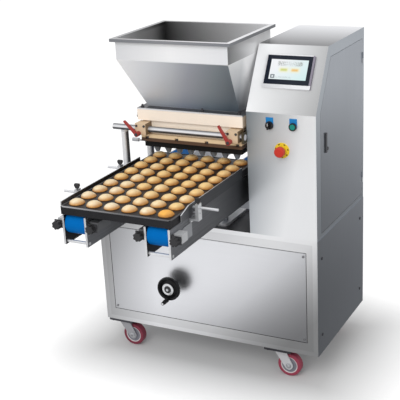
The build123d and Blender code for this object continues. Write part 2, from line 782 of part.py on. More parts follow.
# Star knobs of the take-up, each with its screw
lobe_radius = 5.2
lobe_count = 7
knob_height = 16
for number, (x, side) in enumerate(plate_faces, start=1):
    screw_x = x + side * (plate_outer + takeup_offset)
    with BuildPart() as star_knob:
        with BuildSketch(Plane.XZ.offset(-conveyor_front)):
            with Locations((screw_x, axis_z)):
                Circle(knob_radius - 4)
                with PolarLocations(knob_radius - lobe_radius, lobe_count):
                    Circle(lobe_radius)
        extrude(amount=knob_height)
        fillet(star_knob.edges().group_by(Axis.Y)[0], radius=2)
        bar((screw_x, conveyor_front, axis_z), y_axis, 29, takeup_screw)
    save(star_knob.part, f"takeup_knob_{number}")

# Tray guides: rails on rods, clamp brackets on the outer plates, and wing knobs
side_names = {-1: "left", 1: "right"}
rail_inner = tray_width / 2 + rail_gap
rail_outer = rail_inner + rail_thickness
outer_plate = conveyor_spacing / 2 + plate_outer
clamp_post = (outer_plate + 25, outer_plate + 37)
pin_end = outer_plate + 41
guide_width = 26
guide_foot = (outer_plate, outer_plate + 6)
guide_foot_z = 834
guide_arm_z = (842, 850)
guide_post_top = 903
knob_screw = 3


def across(side, near, far):
    """The X range between two distances from the tray's centre line, on one side."""
    return sorted((head_x + side * near, head_x + side * far))


with BuildPart() as guide_clamps:
    for side in side_names:
        for y in guide_stations[side].values():
            width = span(y, guide_width)
            block(across(side, *guide_foot), width, (guide_foot_z, guide_arm_z[1]))
            block(across(side, outer_plate, clamp_post[1]), width, guide_arm_z)
            block(across(side, *clamp_post), width, (guide_arm_z[0], guide_post_top))
            post = across(side, *clamp_post)
            bore((post[0], y, guide_rod_z), x_axis, post[1] - post[0], guide_rod_radius)
            bore((post[0], y, guide_pin_z), x_axis, post[1] - post[0], guide_pin_radius)
            bore((sum(post) / 2, y, guide_rod_z), z_axis, guide_post_top - guide_rod_z, knob_screw)
save(guide_clamps.part, "guide_clamps")

wing_outline = [(5, 905), (11, 916), (9, 923)]
wing_thickness = 10
chamfer_run = 58
for side, name in side_names.items():
    front, rear = rail_fronts[side], rail_rears[side]
    with BuildPart() as guide_rail:
        with BuildSketch(Plane.YZ.offset(across(side, rail_inner, rail_outer)[0])):
            with BuildLine():
                Polyline(
                    (front, rail_z[0]),
                    (front, rail_z[1] - rail_chamfer_drop[side]),
                    (front + chamfer_run, rail_z[1]),
                    (rear, rail_z[1]),
                    (rear, rail_z[0]),
                    close=True,
                )
            make_face()
        extrude(amount=rail_thickness)
        for y in guide_stations[side].values():
            low, high = across(side, rail_inner, outer_plate + rod_reach[side])
            bar((low, y, guide_rod_z), x_axis, high - low, guide_rod_radius)
            low, high = across(side, rail_inner, pin_end)
            bar((low, y, guide_pin_z), x_axis, high - low, guide_pin_radius)
    save(guide_rail.part, f"guide_rail_{name}")
    for place, y in guide_stations[side].items():
        x = head_x + side * sum(clamp_post) / 2
        with BuildPart() as wing_knob:
            bar((x, y, guide_rod_z + guide_rod_radius + 0.5), z_axis, 14, knob_screw)
            with BuildSketch(Plane.XZ.offset(-y - wing_thickness / 2)):
                with BuildLine():
                    right = [(x + half, z) for half, z in wing_outline]
                    left = [(x - half, z) for half, z in reversed(wing_outline)]
                    Polyline(*right, *left, close=True)
                make_face()
            extrude(amount=wing_thickness)
        save(wing_knob.part, f"guide_knob_{name}_{place}")

# Baking tray: a skirted sheet with tapered cups
with BuildPart() as baking_tray:
    block(span(head_x, tray_width), span(tray_y, tray_length), (tray_z, tray_top))
    hollow = 2 * tray_sheet
    block(
        span(head_x, tray_width - hollow),
        span(tray_y, tray_length - hollow),
        (tray_z, tray_top - tray_sheet),
        Mode.SUBTRACT,
    )
    for wall, mode in ((cup_wall, Mode.ADD), (0, Mode.SUBTRACT)):
        with BuildSketch(Plane.XY.offset(tray_top)):
            with Locations((head_x, tray_y)):
                with GridLocations(*cup_pitch, *cup_count):
                    Circle(cup_top_radius + wall)
        extrude(amount=-cup_depth - wall, taper=cup_taper, mode=mode)
save(baking_tray.part, "baking_tray")

# Cakes: a tapered foot in the cup and a domed top that overhangs it a little
cup_slope = 0.287
crust_overhang = 1.5
dome_shares = ((1.04, 0.2), (0.83, 0.6), (0.42, 0.91), (0, 1))
with BuildPart() as one_cake:
    with BuildSketch(Plane.XZ):
        with BuildLine():
            foot_radius = cup_top_radius - cup_slope * (cup_depth - free) - free
            Line((0, free - cup_depth), (foot_radius, free - cup_depth))
            Line((foot_radius, free - cup_depth), (cup_top_radius - free, 0))
            Line((cup_top_radius - free, 0), (cup_top_radius - free, 1))
            crust_edge = (cup_top_radius + crust_overhang, crust_overhang)
            Line((cup_top_radius - free, 1), crust_edge)
            dome = [(cup_top_radius * r, cake_dome * h) for r, h in dome_shares]
            Line(crust_edge, dome[0])
            Spline(*dome, tangents=[(0.1, 1), (-1, 0)])
            Line((0, cake_dome), (0, free - cup_depth))
        make_face()
    revolve(axis=Axis.Z)
with BuildPart() as cakes:
    with Locations((head_x, tray_y, tray_top)):
        with GridLocations(*cup_pitch, *cup_count):
            add(one_cake.part)
save(cakes.part, "cakes")

# Lift frame: two box beams with ties, four guide posts and the rack that the handwheel raises
rack_pitch = pi * pinion_module
rack_line = handwheel_x + pinion_radius
rack_back = rack_line + 14
beam_x = (conveyor_x[0] - plate_outer, conveyor_x[1] + plate_outer)
beam_z = (plate_z[0] - lift_beam, plate_z[0])
rack_z = (handwheel_z - 44, beam_z[0] + 20)
post_foot = 460
tie_width = 40
tie_spacing = 130
rack_teeth = range(-5, 9)
with BuildPart() as lift_frame:
    for y in lift_beam_y:
        block(beam_x, span(y, lift_beam), beam_z)
        block(beam_x, span(y, lift_beam - 2 * sheet), (beam_z[0] + sheet, beam_z[1] - sheet), Mode.SUBTRACT)
    for x in span(head_x, tie_spacing):
        block(span(x, tie_width), lift_beam_y, (beam_z[0], beam_z[0] + sheet))
    for x in lift_post_x:
        for y in lift_beam_y:
            bar((x, y, post_foot), z_axis, beam_z[0] + sheet - post_foot, lift_post_radius)
    block((rack_line + 2, rack_back), (lift_beam_y[0], pinion_y[1]), (beam_z[0], rack_z[1]))
    with BuildSketch(Plane.XZ.offset(-pinion_y[0])):
        with BuildLine():
            teeth = []
            for tooth in rack_teeth:
                middle = handwheel_z + (tooth + 0.5) * rack_pitch
                for share, depth in ((-0.36, 1.15), (-0.12, -0.85), (0.12, -0.85), (0.36, 1.15)):
                    teeth.append((rack_line + depth * pinion_module, middle + share * rack_pitch))
            rack_root = rack_line + 3
            top = [(rack_root, rack_z[1]), (rack_back, rack_z[1])]
            bottom = [(rack_back, rack_z[0]), (rack_root, rack_z[0])]
            Polyline(*teeth, *top, *bottom, close=True)
        make_face()
    extrude(amount=pinion_y[0] - pinion_y[1])
save(lift_frame.part, "lift_frame")

# Guide plates of the lift on the deck, each with two bushes
guide_plate_length = 299
guide_plate_width = 56
with BuildPart() as lift_bushes:
    for x in lift_post_x:
        with BuildSketch(Plane.XY.offset(deck_top)):
            with Locations((x, sum(lift_beam_y) / 2)):
                SlotCenterToCenter(guide_plate_length, guide_plate_width, rotation=90)
        extrude(amount=guide_plate_thickness)
        block(*rack_slot, (deck_top, deck_top + guide_plate_thickness), Mode.SUBTRACT)
        for y in lift_beam_y:
            foot = (x, y, deck_top - bush_depth)
            bar(foot, z_axis, bush_depth, bush_radius)
            bore(foot, z_axis, bush_depth + guide_plate_thickness, lift_post_radius)
save(lift_bushes.part, "lift_bushes")

# Handwheel with its shaft, pinion and crank pin
wheel_y = cabinet_front - 54
shaft_end = 145
crank_pin = 4
grip_length = 42
with BuildPart() as handwheel:
    with BuildSketch(Plane.XY):
        with BuildLine():
            hub = [(0, -10), (16, -10), (16, -2)]
            rim = [(36, 6), (42, -6), (48, -10), (handwheel_radius, -4), (handwheel_radius, 6), (46, 12)]
            back = [(36, 11), (17, 4), (17, 18), (0, 18)]
            Polyline(*hub, *rim, *back, close=True)
        make_face()
    revolve(axis=Axis.Y)
with BuildPart() as handwheel_unit:
    with Locations((handwheel_x, wheel_y, handwheel_z)):
        add(handwheel.part)
    bar((handwheel_x, wheel_y, handwheel_z), y_axis, shaft_end - wheel_y, handwheel_shaft_radius)
    with BuildSketch(Plane.XZ.offset(-pinion_y[0])):
        with BuildLine():
            outline = gear_outline(pinion_teeth, pinion_module)
            Polyline(*[(handwheel_x + a, handwheel_z + b) for a, b in outline], close=True)
        make_face()
    extrude(amount=pinion_y[0] - pinion_y[1])
    bar((handwheel_x, wheel_y - 58, handwheel_z - crank_radius), y_axis, 58, crank_pin)
    bar((handwheel_x, wheel_y - 60, handwheel_z - crank_radius), y_axis, 3, 7)
save(handwheel_unit.part, "handwheel")

# Crank grip that turns on its pin
with BuildPart() as handwheel_grip:
    with BuildSketch(Plane.XY):
        with BuildLine():
            grip_bore = crank_pin + running
            swell = [(7, 0), (9, 14), (9, 36), (7.5, grip_length)]
            Polyline((grip_bore, 0), *swell, (grip_bore, grip_length), close=True)
        make_face()
    revolve(axis=Axis.Y)
with BuildPart() as grip:
    with Locations((handwheel_x, wheel_y - 56, handwheel_z - crank_radius)):
        add(handwheel_grip.part)
save(grip.part, "handwheel_grip")

# Castors: top plates with kingpins and bolts, then a fork and a wheel each
castor_plate = (115, 100, 10)
castor_bolts = (45, 38)
plate_under = cabinet_bottom - castor_plate[2]
crown_z = (106, 113)
kingpin = 8
kingpin_foot = 98
with BuildPart() as castor_plates:
    for x, y in castor_spots.values():
        block(span(x, castor_plate[0]), span(y, castor_plate[1]), (plate_under, cabinet_bottom))
        bar((x, y, crown_z[1] + 1), z_axis, plate_under - crown_z[1] - 1, 28)
        bar((x, y, kingpin_foot), z_axis, crown_z[1] + 2 - kingpin_foot, kingpin)
        bar((x, y, kingpin_foot), z_axis, crown_z[0] - kingpin_foot - 1, 13)
        for bolt_x in span(x, 2 * castor_bolts[0]):
            for bolt_y in span(y, 2 * castor_bolts[1]):
                bar((bolt_x, bolt_y, plate_under - 5), z_axis, 5, 6)
save(castor_plates.part, "castor_plates")

leg_gap = wheel_width / 2 + 2
leg_thickness = 4
crown_radius = 27
axle_boss = 18
wheel_axle = 6
hub_radius = 36
for name, (x, y) in castor_spots.items():
    axle = (x + castor_trail, wheel_radius)
    with BuildPart() as fork:
        bar((x, y, crown_z[0]), z_axis, crown_z[1] - crown_z[0], crown_radius)
        for side in (-1, 1):
            near = y + side * leg_gap
            face = max(near, near + side * leg_thickness)
            with BuildSketch(Plane.XZ.offset(-face)):
                with Locations((x + 2, crown_z[1] - 3)):
                    Rectangle(48, 6)
                with Locations(axle):
                    Circle(axle_boss)
                make_hull()
            extrude(amount=leg_thickness)
        bore((x, y, crown_z[0]), z_axis, crown_z[1] - crown_z[0], kingpin)
        bar((axle[0], y - leg_gap - 8, axle[1]), y_axis, 2 * leg_gap + 16, wheel_axle)
    save(fork.part, f"castor_fork_{name}")
    with BuildPart() as wheel:
        tyre = (wheel_radius, hub_radius + running, wheel_width)
        hub = (hub_radius, wheel_axle + running, wheel_width - 4)
        for outer, inner, width in (tyre, hub):
            bar((axle[0], y - width / 2, axle[1]), y_axis, width, outer)
            bar((axle[0], y - width / 2, axle[1]), y_axis, width, inner, Mode.SUBTRACT)
        round_edges = wheel.edges().filter_by(GeomType.CIRCLE)
        fillet(round_edges.filter_by(lambda edge: edge.radius > wheel_radius - 1), radius=5)
    save(wheel.part, f"castor_wheel_{name}")
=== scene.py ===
import math
import random

import bmesh
import bpy
from mathutils import Matrix, Vector


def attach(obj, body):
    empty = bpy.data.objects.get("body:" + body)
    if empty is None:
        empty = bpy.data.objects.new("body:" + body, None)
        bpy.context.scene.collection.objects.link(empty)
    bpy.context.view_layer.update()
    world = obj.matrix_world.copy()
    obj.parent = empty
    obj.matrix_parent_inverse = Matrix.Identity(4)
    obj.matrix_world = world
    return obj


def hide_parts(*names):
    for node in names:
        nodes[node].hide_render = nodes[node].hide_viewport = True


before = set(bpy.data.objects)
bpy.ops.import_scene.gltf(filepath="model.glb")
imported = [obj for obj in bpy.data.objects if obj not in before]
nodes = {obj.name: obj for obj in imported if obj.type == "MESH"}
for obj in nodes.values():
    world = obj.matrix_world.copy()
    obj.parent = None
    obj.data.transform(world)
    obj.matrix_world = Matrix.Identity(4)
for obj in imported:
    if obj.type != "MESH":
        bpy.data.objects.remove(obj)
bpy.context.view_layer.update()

scene = bpy.context.scene
random.seed(7)

# Places on the part, in metres
CABINET_FRONT = -0.020
CABINET_LEFT = -0.495
PANEL_ROOM = (0.150, 0.610)
DECK_Z = 0.625
COLUMN_X = (0.215, 0.495)
COLUMN_Y = (0.120, 0.540)
CONSOLE_BREAK = 1.122
CONSOLE_DEEP, CONSOLE_HIGH = 0.140, 0.232
HOPPER_AXIS = (-0.027, 0.055)
HOPPER_LEFT = -0.263
HOPPER_FRONT = -0.146
HOPPER_FOOT = 1.107
HOPPER_BEND = 1.323
HOPPER_LIP = 1.393
POST_TOP = 1.008
OUTLET_EDGE = 0.9845
HEAD_FOOT, CLAMP_FOOT = 1.036, 1.010
FRAME_STRIP = 0.4484
FRAME_FOOT = 1.222
SELECTOR = (0.311, 1.076)
START = (0.406, 1.077)
ESTOP = (0.359, 0.981)
HANDWHEEL = Vector((-0.142, -0.074, 0.351))
GRIP_END = HANDWHEEL + Vector((0, -0.060, -0.043))
LEVER_X = {"left": -0.236, "right": 0.166}
LEVER_FRONT, LEVER_Z = -0.088, 1.012
DOOR_LOCK = (COLUMN_X[1], 0.104, 0.966)
MOTOR_FRONT = (0.056, 0.545, 0.814)
TRAY_TOP = 0.8904
TRAY_CENTRE = (-0.027, -0.262)
TRAY_SIZE = (0.446, 0.700)
TRAY_LEFT, TRAY_FRONT = (centre - size / 2 for centre, size in zip(TRAY_CENTRE, TRAY_SIZE))
CUP_PITCH = (0.073, 0.076)
CUP_COUNT = (6, 9)
FRONT_RIGHT_CAKE = (TRAY_CENTRE[0] + (CUP_COUNT[0] - 1) / 2 * CUP_PITCH[0],
                    TRAY_CENTRE[1] - (CUP_COUNT[1] - 1) / 2 * CUP_PITCH[1])
CONVEYOR_OFFSET = 0.169
BLOCK_COVER = 0.0545
BRACKET_BACK = -0.5945
CASTORS = {"front_left": (-0.428, 0.030), "front_right": (0.316, 0.030),
           "rear_left": (-0.428, 0.480), "rear_right": (0.316, 0.480)}
WHEEL_TRAIL = 0.038
WHEEL_Z = 0.050
AXLE_SEAT = 0.0222

FRONT = (0, -1, 0)
UP = Vector((0, 0, 1))
WHITE = (1.0, 1.0, 1.0)
BLACK = (0.0, 0.0, 0.0)


def shade(colour, factor):
    return tuple(min(1.0, c * factor) for c in colour)


def cool(level):
    """A grey with a trace of blue."""
    return level, level, min(1.0, level * 1.02)


# Node trees
CRISP = 0.0004
MIDDLE = (0.3, 0.7)


class Nodes:
    """A node tree that is put together one step at a time."""

    def __init__(self, tree):
        self.tree = tree
        self.points = self.new("ShaderNodeTexCoord").outputs

    def new(self, kind):
        return self.tree.nodes.new(kind)

    def link(self, source, target):
        self.tree.links.new(source, target)

    def put(self, socket, value):
        """Joins another node's output to a socket, or sets a constant on it."""
        if isinstance(value, bpy.types.NodeSocket):
            self.link(value, socket)
        else:
            socket.default_value = value

    def math(self, operation, a, b=0.5):
        node = self.new("ShaderNodeMath")
        node.operation = operation
        self.put(node.inputs[0], a)
        self.put(node.inputs[1], b)
        return node.outputs[0]

    def plus(self, a, b):
        return self.math("ADD", a, b)

    def minus(self, a, b):
        return self.math("SUBTRACT", a, b)

    def times(self, a, b):
        return self.math("MULTIPLY", a, b)

    def larger(self, a, b):
        return self.math("MAXIMUM", a, b)

    def size(self, a):
        return self.math("ABSOLUTE", a)

    def length(self, a, b):
        return self.math("SQRT", self.plus(self.math("POWER", a, 2.0), self.math("POWER", b, 2.0)))

    def ramp(self, fac, *stops):
        node = self.new("ShaderNodeValToRGB")
        elements = node.color_ramp.elements
        while len(elements) < len(stops):
            elements.new(0.5)
        for element, (place, colour) in zip(elements, stops):
            element.position = place
            element.color = (*colour, 1.0)
        self.put(node.inputs["Fac"], fac)
        return node.outputs["Color"]

    def mix(self, fac, a, b, blend="MIX"):
        node = self.new("ShaderNodeMix")
        node.data_type = "RGBA"
        node.blend_type = blend
        self.put(node.inputs["Factor"], fac)
        for socket, value in ((node.inputs[6], a), (node.inputs[7], b)):
            self.put(socket, value if isinstance(value, bpy.types.NodeSocket) else (*value, 1.0))
        return node.outputs[2]

    def remap(self, fac, low, high, start=0.0, end=1.0):
        """Brings a value from start and end to low and high, and no further."""
        node = self.new("ShaderNodeMapRange")
        self.put(node.inputs["Value"], fac)
        node.inputs["From Min"].default_value = start
        node.inputs["From Max"].default_value = end
        node.inputs["To Min"].default_value = low
        node.inputs["To Max"].default_value = high
        return node.outputs["Result"]

    def unit(self, part):
        """Brings one part of a direction from -1 and 1 to 0 and 1."""
        return self.remap(part, 0.0, 1.0, -1.0, 1.0)

    def split(self, vector, letter):
        node = self.new("ShaderNodeSeparateXYZ")
        self.link(vector, node.inputs["Vector"])
        return node.outputs[letter]

    def above(self, value, limit, soft=CRISP):
        """A mask that is 1 where the value is over a limit."""
        return self.remap(value, 0.0, 1.0, limit - soft, limit + soft)

    def below(self, value, limit, soft=CRISP):
        return self.remap(value, 1.0, 0.0, limit - soft, limit + soft)

    def both(self, a, b):
        """A mask where two masks meet."""
        return self.times(a, b)

    def within(self, value, low, high, soft=CRISP):
        return self.both(self.above(value, low, soft), self.below(value, high, soft))


class Look(Nodes):
    """A material whose colour, gloss and relief come from nodes."""

    def __init__(self, name, metallic=0.0, rough=0.5, shine=0.5):
        self.mat = bpy.data.materials.new(name)
        self.mat.use_nodes = True
        super().__init__(self.mat.node_tree)
        self.bsdf = self.tree.nodes["Principled BSDF"]
        self.feed("Metallic", metallic)
        self.feed("Roughness", rough)
        self.feed("Specular IOR Level", shine)

    def feed(self, name, value):
        self.put(self.bsdf.inputs[name], value)

    def colour(self, value):
        self.feed("Base Color", value)

    def rough(self, value):
        self.feed("Roughness", value)

    def bump(self, height, strength, distance=0.0003):
        node = self.new("ShaderNodeBump")
        node.inputs["Strength"].default_value = strength
        node.inputs["Distance"].default_value = distance
        self.link(height, node.inputs["Height"])
        self.link(node.outputs["Normal"], self.bsdf.inputs["Normal"])

    def noise(self, scale, stretch=(1, 1, 1), detail=3.0):
        mapping = self.new("ShaderNodeMapping")
        mapping.inputs["Scale"].default_value = stretch
        self.link(self.points["Object"], mapping.inputs["Vector"])
        node = self.new("ShaderNodeTexNoise")
        node.inputs["Scale"].default_value = scale
        node.inputs["Detail"].default_value = detail
        node.inputs["Roughness"].default_value = 0.55
        self.link(mapping.outputs["Vector"], node.inputs["Vector"])
        return node.outputs["Fac"]

    def clouded(self, fac, base, spread):
        return self.mix(fac, shade(base, 1 - spread), shade(base, 1 + spread))

    def axis(self, letter):
        return self.split(self.points["Object"], letter)

    def normal(self, letter):
        return self.split(self.points["Normal"], letter)

    def away(self, letters, centre):
        """The distance from a line along the axis that isn't named."""
        return self.length(*(self.minus(self.axis(letter), place)
                             for letter, place in zip(letters, centre)))


# General finishes
SCRATCH_FINE, SCRATCH_LONG = 900.0, 6.0
SCRATCH_DEPTH = 0.0004


def brushed(name, base, grain, rough=(0.24, 0.34), metallic=1.0, zones=None, matt=None, relief=0.02):
    """Brushed sheet: fine scratches along one axis, faint scuffed clouds, painted shade and reflections by
    zone, and dullness by zone.
    """
    look = Look(name, metallic=metallic)
    stretch = [SCRATCH_FINE] * 3
    stretch["xyz".index(grain)] = SCRATCH_LONG
    lines = look.noise(1.0, tuple(stretch), detail=4.0)
    tone = look.clouded(look.noise(2.2, detail=2.0), base, 0.05)
    tone = look.mix(look.remap(lines, 0.0, 0.12, *MIDDLE), tone, shade(base, 0.85))
    # painted shade and reflections: each zone multiplies the colour by its tone
    for mask, level in zones(look) if zones else ():
        tone = look.mix(mask, tone, level, "MULTIPLY")
    look.colour(tone)
    look.rough(look.remap(lines, *rough, 0.25, 0.75))
    look.bump(lines, relief, SCRATCH_DEPTH)
    if matt:
        look.feed("Metallic", look.remap(matt(look), metallic, 0.0))
    return look.mat


def cast(name, base, metallic, rough, grain=700.0, bump=0.06, shine=0.5):
    """A plain finish with fine speckle, slow tone changes and a slightly uneven gloss."""
    look = Look(name, metallic=metallic, shine=shine)
    fine = look.noise(grain)
    slow = look.noise(9.0)
    speckle = look.remap(fine, 0.0, 0.25, 0.35, 0.75)
    look.colour(look.mix(speckle, look.clouded(slow, base, 0.10), shade(base, 0.78)))
    look.rough(look.remap(slow, rough - 0.05, rough + 0.07, *MIDDLE))
    look.bump(fine, bump)
    return look.mat


# Masks by the way a face looks
FACING, FACING_SOFT = 0.9, 0.05


def top_mask(look):
    return look.above(look.normal("Z"), FACING, FACING_SOFT)


def right_mask(look):
    return look.above(look.normal("X"), FACING, FACING_SOFT)


def left_mask(look):
    return look.below(look.normal("X"), -FACING, FACING_SOFT)


def front_mask(look):
    return look.below(look.normal("Y"), -0.95, 0.02)


def console_mask(look):
    return look.within(look.normal("Z"), 0.3, 0.7, 0.05)


# Column: painted shade and reflections; tones are shares of the sheet's colour from one end of a face to
# the other
TOP_TONES = (0.21, 1.10)
CONSOLE_ACROSS = (1.06, 0.48)
CONSOLE_UP, CONSOLE_UP_Z = (0.85, 1.0), (CONSOLE_BREAK, CONSOLE_BREAK + 0.16)
CONSOLE_MATT, CONSOLE_MATT_X = (1.0, 0.80), (COLUMN_X[0], COLUMN_X[0] + 0.10)
COLUMN_FRONT_TONES = ((0.0, (0.23, 0.265, 0.29)), (0.42, (0.62, 0.64, 0.66)), (1.0, WHITE))
COLUMN_SHADE_LEAN, COLUMN_SHADE_X = -0.10, (-0.10, 0.14)
COLUMN_RIGHT_TONE = (0.50, 0.535, 0.57)
COLUMN_FRONT_MATT, COLUMN_LEFT_MATT = 0.55, 0.80
# The lug beside the head is painted a dark tan, as painted shade
LUG_TONE = (0.34, 0.25, 0.15)
LUG_X, LUG_Y = COLUMN_X[0] + 0.0015, CABINET_FRONT - 0.0005


def column_zones(look):
    """Painted shade and reflections: top darker towards the front, console darker to the right and towards
    the bottom, front darker beside the belts, right side darker, and the lug beside the head painted a dark
    tan.
    """
    x, y, z = (look.axis(letter) for letter in "XYZ")
    lean = look.remap(z, 0.0, COLUMN_SHADE_LEAN, DECK_Z, CONSOLE_BREAK)
    across = look.remap(look.plus(look.minus(x, COLUMN_X[0]), lean), 0.0, 1.0, *COLUMN_SHADE_X)
    return ((top_mask(look), look.remap(y, *TOP_TONES, *COLUMN_Y)),
            (console_mask(look), look.remap(x, *CONSOLE_ACROSS, *COLUMN_X)),
            (console_mask(look), look.remap(z, *CONSOLE_UP, *CONSOLE_UP_Z)),
            (front_mask(look), look.ramp(across, *COLUMN_FRONT_TONES)),
            (right_mask(look), COLUMN_RIGHT_TONE),
            (look.both(look.below(x, LUG_X), look.below(y, LUG_Y)), LUG_TONE))


def column_matt(look):
    console = look.both(console_mask(look), look.remap(look.axis("X"), *CONSOLE_MATT, *CONSOLE_MATT_X))
    left = look.times(left_mask(look), COLUMN_LEFT_MATT)
    return look.plus(look.plus(console, left), look.times(front_mask(look), COLUMN_FRONT_MATT))


# Cabinet
# Painted shade: the cabinet's front darker at its left edge and lower right corner, its right side darker,
# and the deck painted dark under the belts
CABINET_SHADE, PANEL_SHADE = (0.52, 0.46), (0.58, 0.62)
LEFT_EDGE = (CABINET_LEFT, CABINET_LEFT + 0.26)
LOW_CORNER = (-0.15, 0.20)
CABINET_RIGHT_TONE = (0.57, 0.61, 0.65)
CABINET_FRONT_MATT = 0.35
DECK_TONES = ((0.0, (0.022, 0.023, 0.026)), (0.45, (0.10, 0.10, 0.11)), (1.0, (0.62, 0.63, 0.65)))
DECK_PALE_Y, DECK_PALE_X = (0.10, 0.46), (-0.42, -0.24)
JOINT_TONE = (0.03, 0.03, 0.03)
JOINT_X = -CABINET_LEFT - 0.02
JOINT_Y = (CABINET_FRONT + 0.0003, CABINET_FRONT + 0.012)
SIDE_TONES, SIDE_Y = (0.76, 1.04), (0.0, 0.52)
SIDE_TOP, SIDE_SOFT = 1.10, 0.12


def cabinet_shade(look, left, low):
    """Painted shade: the left edge and the lower right corner of the cabinet's front are darkened, as if
    they stood in less light.
    """
    corner = look.minus(look.axis("X"), look.axis("Z"))
    return ((front_mask(look), look.remap(look.axis("X"), left, 1.0, *LEFT_EDGE)),
            (front_mask(look), look.remap(corner, 1.0, low, *LOW_CORNER)))


def cabinet_zones(look):
    """Painted shade: deck dark under the belts and paler to the left and rear, right side darker; and a
    dark panel joint.
    """
    x, y, z = (look.axis(letter) for letter in "XYZ")
    deck = look.both(top_mask(look), look.above(z, DECK_Z - 0.02))
    inset = look.both(look.within(y, *JOINT_Y), look.within(z, *PANEL_ROOM))
    pale_part = look.larger(look.remap(y, 0.0, 1.0, *DECK_PALE_Y), look.remap(x, 1.0, 0.0, *DECK_PALE_X))
    return ((deck, look.ramp(pale_part, *DECK_TONES)), (right_mask(look), CABINET_RIGHT_TONE),
            *cabinet_shade(look, *CABINET_SHADE),
            (look.both(inset, look.below(look.size(x), JOINT_X)), JOINT_TONE))


def cabinet_matt(look):
    return look.times(front_mask(look), CABINET_FRONT_MATT)


# Front panel: the same painted shade as the cabinet's front
def panel_zones(look):
    return cabinet_shade(look, *PANEL_SHADE)


def side_zones(look):
    """Painted shade: the right side is a little darker towards the front, below the console."""
    return ((look.below(look.axis("Z"), SIDE_TOP, SIDE_SOFT),
             look.remap(look.axis("Y"), *SIDE_TONES, *SIDE_Y)),)


# Hopper: painted shade and reflections on its sheet
HOPPER_SOFT = 0.003
INSIDE_ACROSS, INSIDE_X = (0.05, 0.95), (HOPPER_LEFT, HOPPER_LEFT + 0.47)
INSIDE_BACK, INSIDE_Y = (0.75, 0.04), (HOPPER_FRONT, HOPPER_FRONT + 0.37)
FLANGE_TONE, FLANGE_TOP = (0.20, 0.20, 0.21), HOPPER_FOOT + 0.004
LIP_TONE = (0.28, 0.285, 0.30)
BAND_X = (HOPPER_LEFT, HOPPER_LEFT + 0.472)
BAND_TONES = ((0.0, (0.76, 0.765, 0.78)), (0.5, WHITE), (1.0, (0.86, 0.87, 0.89)))
SLOPE_ACROSS, SLOPE_X = (0.0, 0.80), (HOPPER_LEFT, HOPPER_LEFT + 0.45)
SLOPE_DOWN, SLOPE_Z = (0.24, 0.0), (HOPPER_BEND - 0.23, HOPPER_BEND)
SLOPE_TONES = ((0.0, WHITE), (0.44, (0.67, 0.72, 0.79)), (0.56, (0.49, 0.54, 0.64)),
               (0.78, (0.28, 0.34, 0.40)), (0.92, (0.16, 0.20, 0.24)))
RIGHT_BAND, RIGHT_BAND_Y = (0.24, 1.0), (HOPPER_FRONT, HOPPER_FRONT + 0.29)
RIGHT_LIFT, RIGHT_LIFT_Y = (-0.03, 0.12), (-0.02, 0.08)
RIGHT_SLOPE_Z = (HOPPER_FOOT + 0.018, HOPPER_BEND)
RIGHT_SLOPE_TONES = ((0.0, (0.17, 0.195, 0.225)), (1.0, WHITE))
RIGHT_SLOPE_MATT, HOPPER_FRONT_MATT = 0.85, 0.5
RIGHT_BAND_MATT, RIGHT_BAND_MATT_Y = (0.0, 0.85), (0.02, 0.14)


def front_half(look, turned, soft):
    """Faces of the hopper's front half that are turned to the front."""
    return look.both(look.below(look.normal("Y"), turned, soft), look.below(look.axis("Y"), HOPPER_AXIS[1]))


def front_slope(look):
    z = look.within(look.axis("Z"), HOPPER_FOOT, HOPPER_BEND, HOPPER_SOFT)
    return look.both(front_half(look, -0.5, 0.05), z)


def front_band(look):
    return look.both(front_half(look, -0.9, 0.02), look.above(look.axis("Z"), HOPPER_BEND, HOPPER_SOFT))


def right_slope(look):
    outer = look.both(look.above(look.normal("X"), 0.5, 0.1), look.above(look.axis("X"), HOPPER_AXIS[0]))
    return look.both(outer, look.below(look.axis("Z"), HOPPER_BEND, HOPPER_SOFT))


def right_band(look):
    return look.both(right_mask(look), look.within(look.axis("Z"), HOPPER_BEND, HOPPER_LIP, 0.001))


def hopper_zones(look):
    """Painted shade and reflections: dark inside, on the foot flange and round the lip; a bright middle on
    the front band; both outer slopes darken downwards, and the right band darkens towards the front.
    """
    x, y, z = (look.axis(letter) for letter in "XYZ")
    outward = look.plus(*(look.times(look.normal(letter), look.minus(place, middle))
                          for letter, place, middle in zip("XY", (x, y), HOPPER_AXIS)))
    inside = look.below(outward, 0.0, 0.004)
    outside = look.minus(1.0, inside)
    left_wall = look.above(look.normal("X"), 0.5, 0.05)
    inner = look.mix(left_wall, look.remap(x, *INSIDE_ACROSS, *INSIDE_X),
                     look.remap(y, *INSIDE_BACK, *INSIDE_Y))
    flange = look.both(top_mask(look), look.below(z, FLANGE_TOP, 0.002))
    lip = look.both(look.above(z, HOPPER_LIP, 0.0008), look.below(look.normal("Z"), 0.5, 0.05))
    fall = look.plus(look.remap(x, *SLOPE_ACROSS, *SLOPE_X), look.remap(z, *SLOPE_DOWN, *SLOPE_Z))
    rise = look.plus(z, look.remap(y, *RIGHT_LIFT, *RIGHT_LIFT_Y))
    return ((inside, inner), (flange, FLANGE_TONE),
            (front_band(look), look.ramp(look.remap(x, 0.0, 1.0, *BAND_X), *BAND_TONES)),
            (look.both(outside, lip), LIP_TONE),
            (look.both(outside, right_band(look)), look.remap(y, *RIGHT_BAND, *RIGHT_BAND_Y)),
            (front_slope(look), look.ramp(fall, *SLOPE_TONES)),
            (right_slope(look), look.ramp(look.remap(rise, 0.0, 1.0, *RIGHT_SLOPE_Z), *RIGHT_SLOPE_TONES)))


def hopper_matt(look):
    band = look.both(right_band(look), look.remap(look.axis("Y"), *RIGHT_BAND_MATT, *RIGHT_BAND_MATT_Y))
    right = look.plus(look.times(right_slope(look), RIGHT_SLOPE_MATT), band)
    front = look.plus(front_slope(look), front_band(look))
    return look.plus(look.times(front, HOPPER_FRONT_MATT), right)
